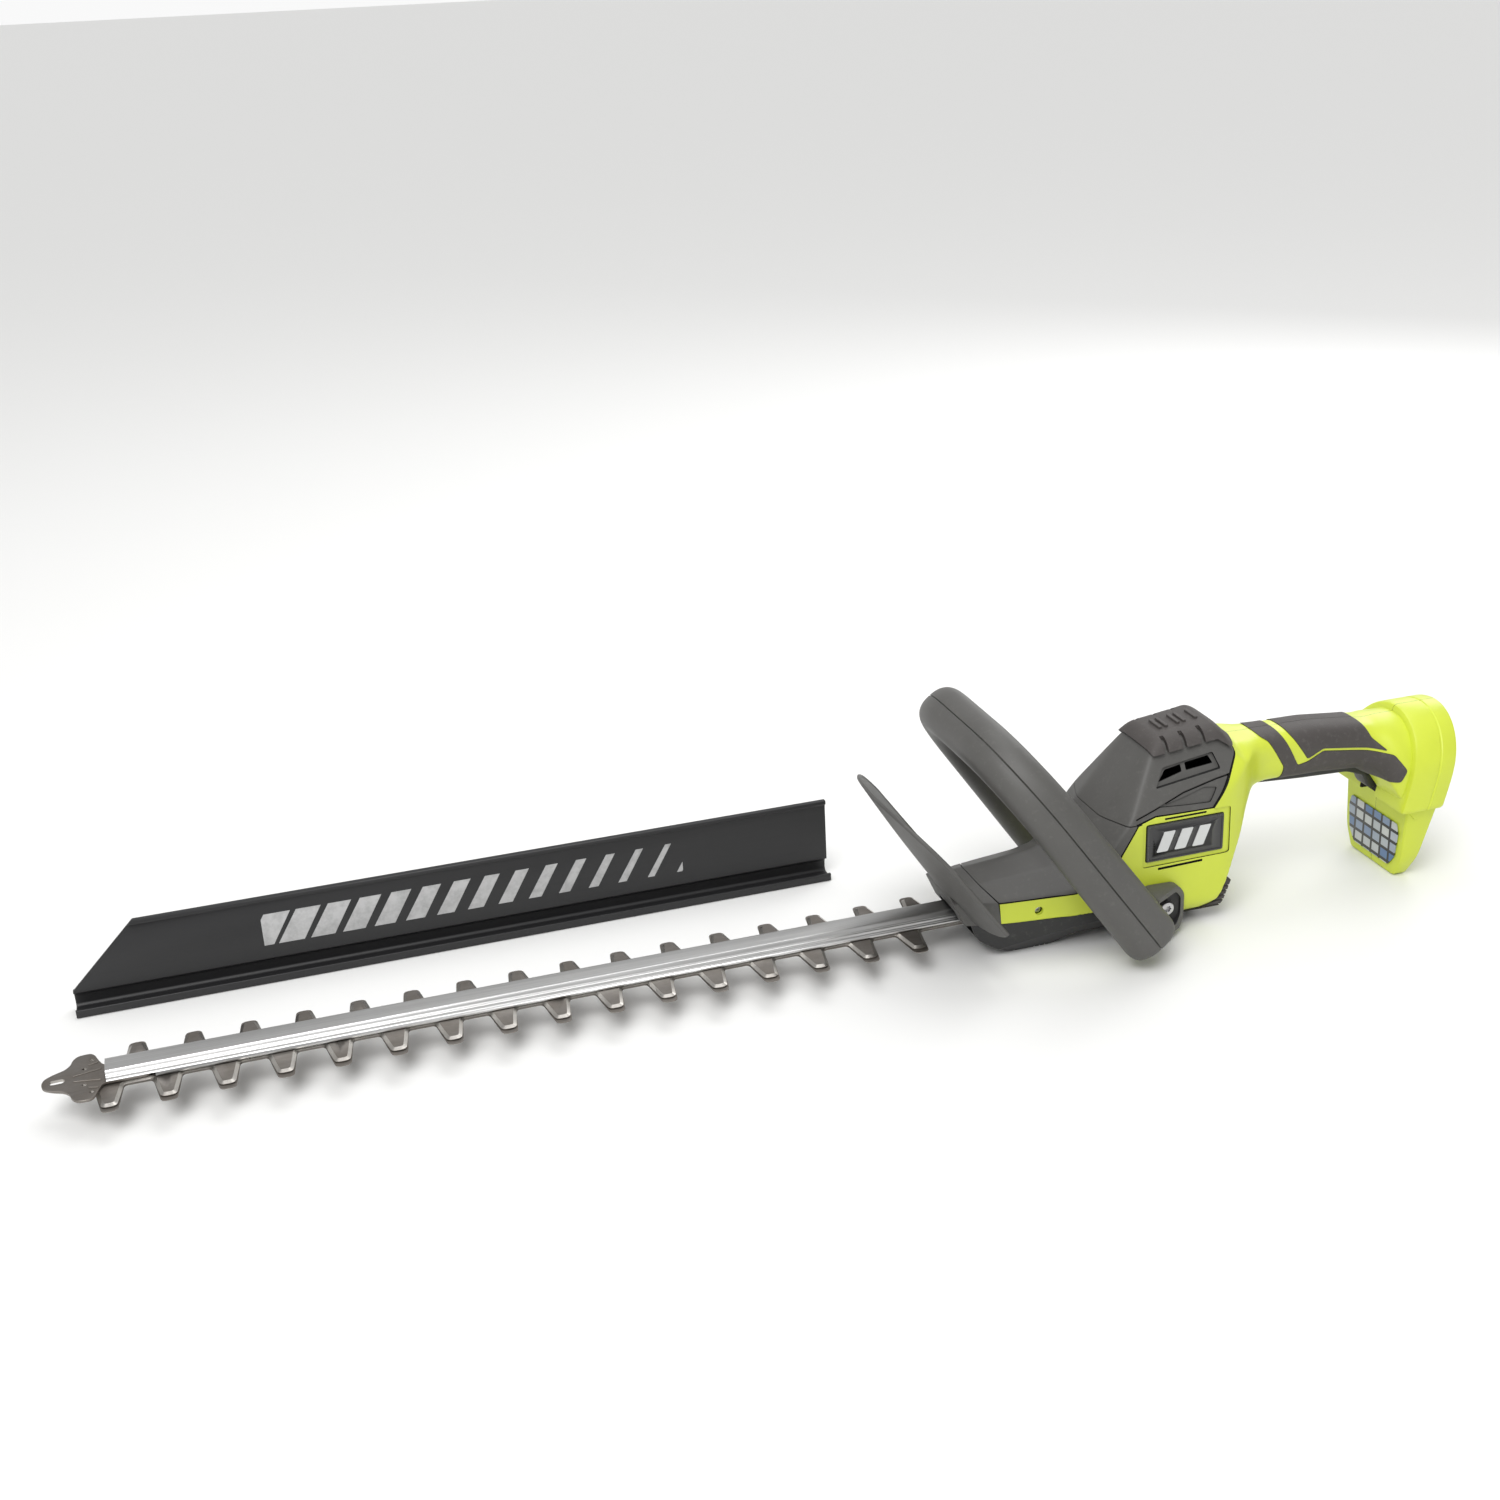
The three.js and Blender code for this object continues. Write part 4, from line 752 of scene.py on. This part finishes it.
# ---- Gearcase pan and belly pad ----------------------------------------------------------------
# The dark pan closes the gearcase from below and carries the crank's lower bush. The belly pad is
# a rubber foot at the back of the body, where the tool rests.


def crossed(name, side, plan_view, front, material):
    """The solid shared by a side outline, a plan outline and a front outline, each carried
    straight through."""
    piece = slab(name, side, -70, 70, "y", material)
    return carve(piece, [slab("plan", plan_view, -20, 160, "z", material),
                         slab("front", front, -120, 300, "x", material)], "INTERSECT")


def plan_outline(shrink):
    """The body's widths in plan, drawn in by an amount."""
    half = [(-92, 22), (-62, 29.5), (-20, 36), (5, 38), (84, 38), (98, 32)]
    return [(x, w - shrink) for x, w in half] + [(x, shrink - w) for x, w in half[::-1]]


pan_side = rounded([(-80, 22.1), (-76.5, 12), (-66, 6), (-55, 0), (-27, 0), (-17, 7.5), (49, 8.5), (49.6, 22.1)],
                   [0.1, 3, 4, 5, 4, 3, 2, 0.1], 6)
pan_front = [(24, 0), (40.5, 22), (60, 48), (-60, 48), (-40.5, 22), (-24, 0)]
pan = crossed("gearcase_pan", pan_side, plan_outline(1.2), pan_front, dark_plastic)
room_side = [(-100, 30), (-100, 14), (-75.4, 14), (-65, 9), (-54, 3), (-28, 3), (-18, 10.5), (46.7, 11.5), (46.7, 30)]
room_front = [(21, 0), (37.5, 22), (45, 32), (-45, 32), (-37.5, 22), (-21, 0)]
carve(pan, [crossed("room", room_side, plan_outline(4.2), room_front, dark_plastic)])
wells = [slab("screw_well", ring_xy * 3.3 + at, -5, high, "z", dark_plastic)
         for at, high in (((-46, 19), 4), ((-46, -19), 4), ((36, 19), 11), ((36, -19), 11))]
grooves = [slab("pan_groove", [(x, -60), (x + 1.2, -60), (x + 1.2, 60), (x, 60)], -1, 0.7, "z", dark_plastic)
           for x in (-53, -39.5, -36, -32.5)]
carve(pan, wells + grooves + [slab("bush_hole", ring_xy * 3.4, -1, 4, "z", dark_plastic)])
bosses = [slab("boss", ring_xy * 4.6 + at, high, 15.6, "z", dark_plastic)
          for at, high in (((-46, 19), 3.9), ((-46, -19), 3.9), ((36, 19), 10.9), ((36, -19), 10.9))]
carve(pan, bosses, "UNION")
pan.data.set_sharp_from_angle(angle=math.radians(35))
settle(pan, "trimmer_body", "dark_plastic", "gearcase_bottom_cover")
belly_side = rounded([(53.6, 8.4), (54.1, 3), (58, 0), (67, 0), (76, 3.5), (84, 12), (89.3, 25.8), (87.2, 26.5),
                      (84.6, 26.5), (78.6, 13.8), (68.2, 8.4)], 1.0, 4)
belly = crossed("belly_foot", belly_side, [(50, -33.8), (95, -33.8), (95, 33.8), (50, 33.8)],
                [(17, 0), (33.8, 9.3), (33.8, 60), (-33.8, 60), (-33.8, 9.3), (-17, 0)], rubber)
treads = [slab("tread", [(-60, z), (60, z), (60, z + 0.9), (-60, z + 0.9)], 70, 100, "x", rubber)
          for z in (6.5, 9.5, 12.5, 15.5, 18.5, 21.5)]
keep_core = crossed("core", [(68, 9.0), (76.2, 4.2), (83.6, 12.4), (88.9, 26.2), (84, 26.4)],
                    [(50, -33), (95, -33), (95, 33), (50, 33)],
                    [(33, 0), (33, 60), (-33, 60), (-33, 0)], rubber)
carve(treads[0], treads[1:], "UNION")
carve(treads[0], [keep_core])
carve(belly, [treads[0]])
settle(belly, "trimmer_body", "soft_grip", "belly_pad")

# ---- Badges ------------------------------------------------------------------------------------
# A thin pressed plate let into each flank, with a raised rim and a plain maker's pattern of three
# slanted bars. It is glued in its recess.
silver_ink = wired("silver_ink", moulded, (0.62, 0.63, 0.63), 0.35, 0.6, bump=0.1, Cloud=0.03, Dust=0.05)
badge_face = wired("badge_face", moulded, (0.018, 0.018, 0.019), 0.3, coat=0.4, bump=0.1, Cloud=0.08, Dust=0.05)
for tag, side in (("left", -1), ("right", 1)):
    low, high = sorted((side * 37.1, side * 38.1))
    badge = slab(f"{tag}_plate", rounded([(28, 50.4), (79.5, 50.4), (79.5, 74.6), (28, 74.6)], 1.6, 5), low, high, "y",
                 badge_face, 0.2)
    low, high = sorted((side * 37.9, side * 38.5))
    carve(badge, [side_tool("field", rounded([(29.5, 51.9), (78, 51.9), (78, 73.1), (29.5, 73.1)], 1.0, 5), low, high,
                            badge_face)])
    low, high = sorted((side * 37.8, side * 38.15))
    marks = [side_tool("mark", rounded([(x, 56), (x + 7.5, 56), (x + 12.5, 69), (x + 5, 69)], 0.8, 4), low, high,
                       silver_ink) for x in (34.5, 46.5, 58.5)]
    carve(badge, marks, "UNION")
    settle(badge, "trimmer_body", "label_film", f"{tag}_badge")

# ---- Front handle ------------------------------------------------------------------------------
# A leaning hoop for the second hand, moulded as two grey half tubes screwed together, with a
# fine seam all round. Its feet are held by a bracket on each flank.
hoop_lean = math.radians(35.6)


def hoop_point(u, v, n):
    """A place on the hoop's own axes: u across, v up along the lean, n rearward off its plane."""
    u, v, n = np.broadcast_arrays(np.asarray(u, float), v, n)
    return np.stack([12 - math.sin(hoop_lean) * v + math.cos(hoop_lean) * n, u,
                     22 + math.cos(hoop_lean) * v + math.sin(hoop_lean) * n], -1)


def hoop_path():
    """The hoop's centre line up one leg, round two quarter circles and down the other, with its
    direction and how near each point is to a foot."""
    leg = np.concatenate([-8 + 7 * (1 - np.cos(np.linspace(0, math.pi / 2, 8))), np.linspace(2, 96, 30)[:-1]])
    turn = np.linspace(0, math.pi / 2, 26)
    u = np.concatenate([np.full(len(leg), 70.0), 22 + 48 * np.cos(turn)])
    v = np.concatenate([leg, 96 + 48 * np.sin(turn)])
    top = np.linspace(18, -18, 9)
    u, v = np.concatenate([u, top, -u[::-1]]), np.concatenate([v, np.full(9, 144.0), v[::-1]])
    du, dv = np.gradient(u), np.gradient(v)
    size = np.hypot(du, dv)
    low = np.clip((v + 8) / 7, 0, 1)
    return u, v, du / size, dv / size, np.sqrt(np.maximum(1 - (1 - low) ** 2, 0))


def half_hoop(name, way, grow=0.0, wall=2.4, seam=0.15):
    """A half tube carried along the hoop. Its section is half of a superellipse, 26.9 wide and 30
    to 34 deep; the outer curve comes back along a hollow inner one, and both close at the feet."""
    u, v, du, dv, closing = hoop_path()
    turn = np.linspace(-math.pi / 2, math.pi / 2, 33)
    wide = 0.5 * 26.9 + grow - 3.2 * (1 - closing)
    deep = np.interp(v, [-8, 40, 144], [17.0, 16.4, 15.0]) + grow - 3.2 * (1 - closing)
    a = np.sign(np.sin(turn)) * np.abs(np.sin(turn)) ** 0.86
    b = np.cos(turn) ** 0.86
    outer_b = wide[:, None] * a
    outer_n = seam + 0.5 + (deep[:, None] - seam - 0.5) * b
    lip_b = np.stack([wide - 0.5, -(wide - 0.5)], 1)
    lip_n = np.full_like(lip_b, seam)
    share = np.clip((v + 1) / 5, 0, 1)[:, None]
    inner_b = (wide[:, None] - wall) * a[::-1] * np.maximum(share, 0.02)
    inner_n = seam + (deep[:, None] - wall - seam) * b[::-1] * share
    across = np.concatenate([outer_b, lip_b[:, :1], inner_b, lip_b[:, 1:]], 1)
    off = np.concatenate([outer_n, lip_n[:, :1], inner_n, lip_n[:, 1:]], 1) * way
    rings = hoop_point(u[:, None] - dv[:, None] * across, v[:, None] + du[:, None] * across, off)
    return rings_piece(name, rings, grey_plastic, 35.0)


front_half = half_hoop("hoop_front_half", -1)
rear_half = half_hoop("hoop_rear_half", 1)


def hoop_block(name, u0, u1, v0, v1, n0, n1, corner, ease, material):
    """A rounded block on the hoop's axes: its outline in u and v, carried along n, rims eased."""
    outline = rounded([(u0, v0), (u1, v0), (u1, v1), (u0, v1)], corner, 6)
    turn = np.linspace(0, math.pi / 2, 5)
    steps = [(ease * (1 - math.sin(t)), n0 + ease * (1 - math.cos(t))) for t in turn]
    steps += [(i, n1 + n0 - n) for i, n in steps[::-1]]
    rings = [hoop_point(inset(outline, i)[:, 0], inset(outline, i)[:, 1], n) for i, n in steps]
    return rings_piece(name, rings, material, 30.0)


carve(rear_half, [hoop_block("bar_slot", -35, 35, 125.4, 135.4, -1.0, 22, 1.4, 0.0, dark_plastic)])
rear_half.data.set_sharp_from_angle(angle=math.radians(35))
settle(front_half, "trimmer_body", "grey_plastic", "front_handle_front")
settle(rear_half, "trimmer_body", "grey_plastic", "front_handle_rear")
bar = hoop_block("squeeze_bar", -34, 34, 126.5, 134, 3.3, 12.3, 1.2, 1.0, dark_plastic)
settle(bar, "switch_bar", "dark_plastic", "front_switch_bar")
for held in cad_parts["front_switch"].material_slots:
    held.material = dark_plastic

# ---- Handle brackets ---------------------------------------------------------------------------
# A stub arm on each flank that the hoop's foot seats in, screwed through into the gearcase. Its
# outer face has a moulded pocket.
arm_side = rounded([(20, 9), (28, 4.5), (50, 5), (53, 12), (53, 27), (46, 35.5), (26, 36)], 3.5, 6)
pocket_side = rounded([(24, 12.5), (45, 9), (49.2, 14), (49.2, 26), (44, 32.2), (24, 32.8)], 2.2, 5)
foot_front = half_hoop("foot_front", -1, 0.3, 14.0, 0.0)
foot_rear = half_hoop("foot_rear", 1, 0.3, 14.0, 0.0)
for tag, side in (("left", -1), ("right", 1)):
    arm = slab(f"{tag}_arm", arm_side, *sorted((side * 38.3, side * 77.6)), "y", grey_plastic, 1.6)
    slant = [(60, 36), (51, 42.4), (27, 58), (15, 72), (10, 120), (120, 120), (120, 36)]
    # The pocket's walls and floor take the dark moulding, a painted shade inside the grey arm
    carve(arm, [slab("slant", [(x, side * y) for x, y in slant], -20, 80, "z", grey_plastic),
                slab("pocket", pocket_side, *sorted((side * 41.5, side * 90)), "y", dark_plastic)])
    worn_edges(arm, 0.7, 34)
    carve(arm, [twin(foot_front, "foot_cut"), twin(foot_rear, "foot_cut"),
                slab("arm_hole", ring_xy * 2.3 + (40, 20), *sorted((side * 30, side * 60)), "y", dark_plastic)])
    arm.data.set_sharp_from_angle(angle=math.radians(32))
    settle(arm, "trimmer_body", "grey_plastic", f"{tag}_handle_bracket")
for spare in (foot_front, foot_rear):
    bpy.data.objects.remove(spare)

# ---- Hand guard --------------------------------------------------------------------------------
# A curved grey shield ahead of the hoop, one moulding with the collar that is screwed to the nose.
# A rolled lip runs round its edge and four low ribs stiffen its face.


def shield_surface(f, t, n):
    """A point of the shield at f across and t up: the top edge follows a flattened arch, the
    middle bows forward by a parabola, and the plate leans with the hoop."""
    low = 9 + 6 * f**6
    high = 112 * (0.53 + 0.47 * np.sqrt(1 - 0.97 * np.abs(f) ** 2.6))
    bow = -10 * (1 - f**2) + 5 * t**2 * (1 - f**2)
    return hoop_point(f * 63, low + (high - low) * t, n + bow) + (-78, 0, -1)


f = np.sin(np.linspace(-math.pi / 2, math.pi / 2, 73))[:, None]
t = (0.5 - 0.5 * np.cos(np.linspace(0, math.pi, 45)))[None, :]
edge = np.minimum(np.minimum(1 - np.abs(f), 1.15 * (1 - t)) * 63, 40 * t + 3)
lip = np.clip(1 - edge / 3.0, 0, 1)
lip = lip * lip * (3 - 2 * lip)
corner = np.clip(1 - edge / 1.1, 0, 1) ** 2
ribs = sum(np.exp(-((f * 63 - at) / 1.3) ** 2) for at in (-42, -15, 15, 42)) * np.clip(edge / 8 - 0.5, 0, 1)
front_n = 0.25 + corner * 1.1
rear_n = 2.2 + 0.8 * lip - corner * 1.1 + 0.7 * ribs
front_face = shield_surface(f, t, front_n)
rear_face = shield_surface(f, t, rear_n)
shield = rings_piece("hand_shield", np.concatenate([front_face, rear_face[:, ::-1]], 1), grey_plastic, 40.0)
collar_side = [(-62.9, 22.6), (-84, 22.6), (-91, 38), (-93, 60), (-77, 60), (-71, 43.2), (-64.9, 36.8)]
collar = carve(twin(outer_form, "collar", grey_plastic), [side_tool("collar_cut", collar_side, -70, 70, grey_plastic)],
               "INTERSECT")
# The pockets' walls take the dark moulding, a painted shade that makes them read as dark holes in the grey collar
pockets = both_flanks("pocket", rounded([(-68, 26), (-79, 26), (-84, 35.5), (-72, 35.5)], 1.2, 4), 17, 60, dark_plastic)
carve(collar, pockets)
carve(shield, [collar], "UNION")
carve(shield, [slab("bar_way", [(-12.4, -1), (12.4, -1), (12.4, 28.3), (-12.4, 28.3)], -140, -50, "x", dark_plastic)])
shield.data.set_sharp_from_angle(angle=math.radians(35))
settle(shield, "trimmer_body", "grey_plastic", "hand_guard")

# ---- Trigger and its gear ----------------------------------------------------------------------
# A long black paddle under the rear grip, hinged at its front on a steel pin and sprung at the
# back, with a hooked tail that keeps the hand clear of the dock.
trigger_side = rounded([(116.2, 78), (118, 74.2), (150, 72), (185, 70.5), (197, 66), (200.2, 58.4), (204, 55.2),
                        (207.8, 57.2), (207.4, 78), (190, 81.9), (130, 81.9), (118, 82.8)], 2.4, 6)
trigger = slab("trigger_paddle", trigger_side, -6.9, 6.9, "y", dark_plastic, 1.8)
settle(trigger, "trigger", "dark_plastic", "rear_trigger")
for node_name in ("trigger_pin", "trigger_spring"):
    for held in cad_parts[node_name].material_slots:
        held.material = zinc
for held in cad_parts["rear_switch"].material_slots:
    held.material = dark_plastic

# ---- Battery contacts --------------------------------------------------------------------------
# A black block on the socket's floor with two brass blades that enter the battery, and a plain
# printed film on the front of the dock.
brass = wired("bright_brass", worked, (0.62, 0.43, 0.17), 0.28, 1.0, bump=0.15, Stretch=(300.0, 900.0, 300.0))
block = slab("contact_block", rounded([(-13.9, 44.1), (13.9, 44.1), (13.9, 83.9), (-13.9, 83.9)], 1.5, 5), 217.1, 235.9,
             "x", dark_plastic, 0.8)
# The slits keep the near-black painted shade on their walls
slits = [slab("slit", [(y - 4.6, z), (y + 4.6, z), (y + 4.6, z + 1.4), (y - 4.6, z + 1.4)], 228, 240, "x", painted_gap_shade)
         for y in (-8, 8) for z in (58, 66, 74)]
carve(block, slits)
settle(block, "trimmer_body", "dark_plastic", "terminal_block")
for tag, y in (("plus", -8), ("minus", 8)):
    leaf = slab(f"contact_{tag}", rounded([(236.3, y - 3.5), (240.2, y - 3.5), (241, y - 2.4), (241, y + 2.4),
                                           (240.2, y + 3.5), (236.3, y + 3.5)], 0.4, 3), 50, 51.2, "z", brass, 0.2)
    settle(leaf, "trimmer_body", "brass", f"terminal_{tag}")
film, tree, shader = finish("printed_film", (0.03, 0.03, 0.03), 0.35, coat=0.3)
blocks = node(tree, "ShaderNodeTexBrick", {"offset": 0.0, "squash": 1.0}, Color1=(0.55, 0.56, 0.56, 1),
              Color2=(0.04, 0.13, 0.33, 1), Mortar=(0.015, 0.015, 0.016, 1), Scale=1.0)
for key, value in (("Mortar Size", 0.0011), ("Mortar Smooth", 0.1), ("Brick Width", 0.0095), ("Row Height", 0.0078)):
    blocks.inputs[key].default_value = value
where = node(tree, "ShaderNodeTexCoord").outputs["Object"]
split = node(tree, "ShaderNodeSeparateXYZ", i0=where)
face = node(tree, "ShaderNodeCombineXYZ", i0=split.outputs["Y"], i1=split.outputs["Z"])
tree.links.new(face.outputs["Vector"], blocks.inputs["Vector"])
tree.links.new(blocks.outputs["Color"], shader.inputs["Base Color"])
wear = node(tree, "ShaderNodeTexNoise", Vector=where, Scale=600.0, Detail=3.0)
wear_range = node(tree, "ShaderNodeMapRange", i0=wear.outputs["Fac"], i3=0.25, i4=0.5)
tree.links.new(wear_range.outputs["Result"], shader.inputs["Roughness"])
film_outline = rounded([(-19, 6), (19, 6), (25, 14), (27, 30), (25, 37), (-25, 37), (-27, 30), (-25, 14)], 1.5, 4)
sticker = slab("dock_film", film_outline, 211.7, 212.6, "x", film, 0.2)
settle(sticker, "trimmer_body", "label_film", "dock_label")

# ---- Debris sweep ------------------------------------------------------------------------------
# A loose clip-on scoop of black extruded plastic that carries cuttings off the hedge. A channel
# along its foot snaps over the bar; here it stands beside the tool.
sweep_black, tree, shader = finish("scoop_black", (0.016, 0.016, 0.017), 0.42)
where = node(tree, "ShaderNodeTexCoord").outputs["Object"]
split = node(tree, "ShaderNodeSeparateXYZ", i0=where)
slant = node(tree, "ShaderNodeMath", {"operation": "MULTIPLY_ADD"}, i0=split.outputs["Z"], i1=-0.6,
             i2=split.outputs["X"])
wave = node(tree, "ShaderNodeMath", {"operation": "PINGPONG"}, i0=slant.outputs[0], i1=0.0095)
taper = node(tree, "ShaderNodeMapRange", i0=split.outputs["X"], i1=-0.49, i2=-0.22, i3=0.0012, i4=0.0078)
bars = node(tree, "ShaderNodeMath", {"operation": "GREATER_THAN"}, i0=wave.outputs[0], i1=taper.outputs["Result"])
limits = [node(tree, "ShaderNodeMath", {"operation": way}, i0=split.outputs[axis], i1=at)
          for axis, way, at in (("X", "GREATER_THAN", -0.488), ("X", "LESS_THAN", -0.222), ("Z", "GREATER_THAN", 0.022),
                                ("Z", "LESS_THAN", 0.043))]
for limit in limits:
    bars = node(tree, "ShaderNodeMath", {"operation": "MULTIPLY"}, i0=bars.outputs[0], i1=limit.outputs[0])
scuffs = node(tree, "ShaderNodeTexNoise", Vector=where, Scale=160.0, Detail=6.0, Roughness=0.7)
worn = node(tree, "ShaderNodeMapRange", i0=scuffs.outputs["Fac"], i1=0.35, i2=0.6, i3=0.75, i4=1.0)
ink = node(tree, "ShaderNodeMath", {"operation": "MULTIPLY"}, i0=bars.outputs[0], i1=worn.outputs["Result"])
inked = node(tree, "ShaderNodeMix", {"data_type": "RGBA"}, i0=ink.outputs[0], i6=(0.016, 0.016, 0.017, 1),
             i7=(0.5, 0.5, 0.5, 1))
tree.links.new(inked.outputs[2], shader.inputs["Base Color"])
drawn = node(tree, "ShaderNodeVectorMath", {"operation": "MULTIPLY"}, i0=where, i1=(8.0, 700.0, 700.0))
drag = node(tree, "ShaderNodeTexNoise", Vector=drawn.outputs["Vector"], Scale=1.0, Detail=4.0)
rough = node(tree, "ShaderNodeMapRange", i0=drag.outputs["Fac"], i3=0.32, i4=0.55)
tree.links.new(rough.outputs["Result"], shader.inputs["Roughness"])
tree.links.new(node(tree, "ShaderNodeBump", Strength=0.15, Distance=0.0002, Height=drag.outputs["Fac"]).outputs[
    "Normal"], shader.inputs["Normal"])
profile = [(-8, 0), (4, 0), (6.5, 2.5), (6.5, 11), (4.5, 13.5), (2, 14.5), (2, 55), (-1.8, 55), (-1.8, 52.5),
           (0, 51.5), (0, 12.5), (3, 11), (4.5, 9.5), (4.5, 3.5), (3, 2), (-6, 2), (-6, 5), (-8, 5)]
scoop = slab("debris_scoop", rounded([(y + 116, z) for y, z in profile], 0.7, 4), -602, -124, "x", sweep_black, 0.0, 35)
carve(scoop, [slab("front_slant", [(-640, -1), (-617, -1), (-602, 14), (-556, 60), (-640, 60)], 90, 140, "y",
                   sweep_black)])
settle(scoop, "sweep", "sweep_plastic", "debris_sweep")

# ---- Drive train -------------------------------------------------------------------------------
# Inside the body: the motor with its fan and pinion, the crank gear, and two eccentrics half a
# turn apart that drive the combs against each other. Steel turns in greased bushes.
cast_metal = wired("die_cast", worked, (0.42, 0.42, 0.43), 0.5, 1.0, bump=0.5, Stretch=(700.0, 700.0, 700.0),
                   Smudge=0.4)
inside = [(gear_steel, ("crank_gear", "crank_shaft", "crank_spacer", "upper_eccentric", "lower_eccentric",
                        "motor_pinion")),
          (brass, ("crank_lower_bush", "crank_top_bearing")), (cast_metal, ("gearcase_plate",)),
          (dark_plastic, ("motor_fan",))]
for finish_given, node_names in inside:
    for node_name in node_names:
        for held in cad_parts[node_name].material_slots:
            held.material = finish_given
for spare in (outer_form, inner_form):
    bpy.data.objects.remove(spare)
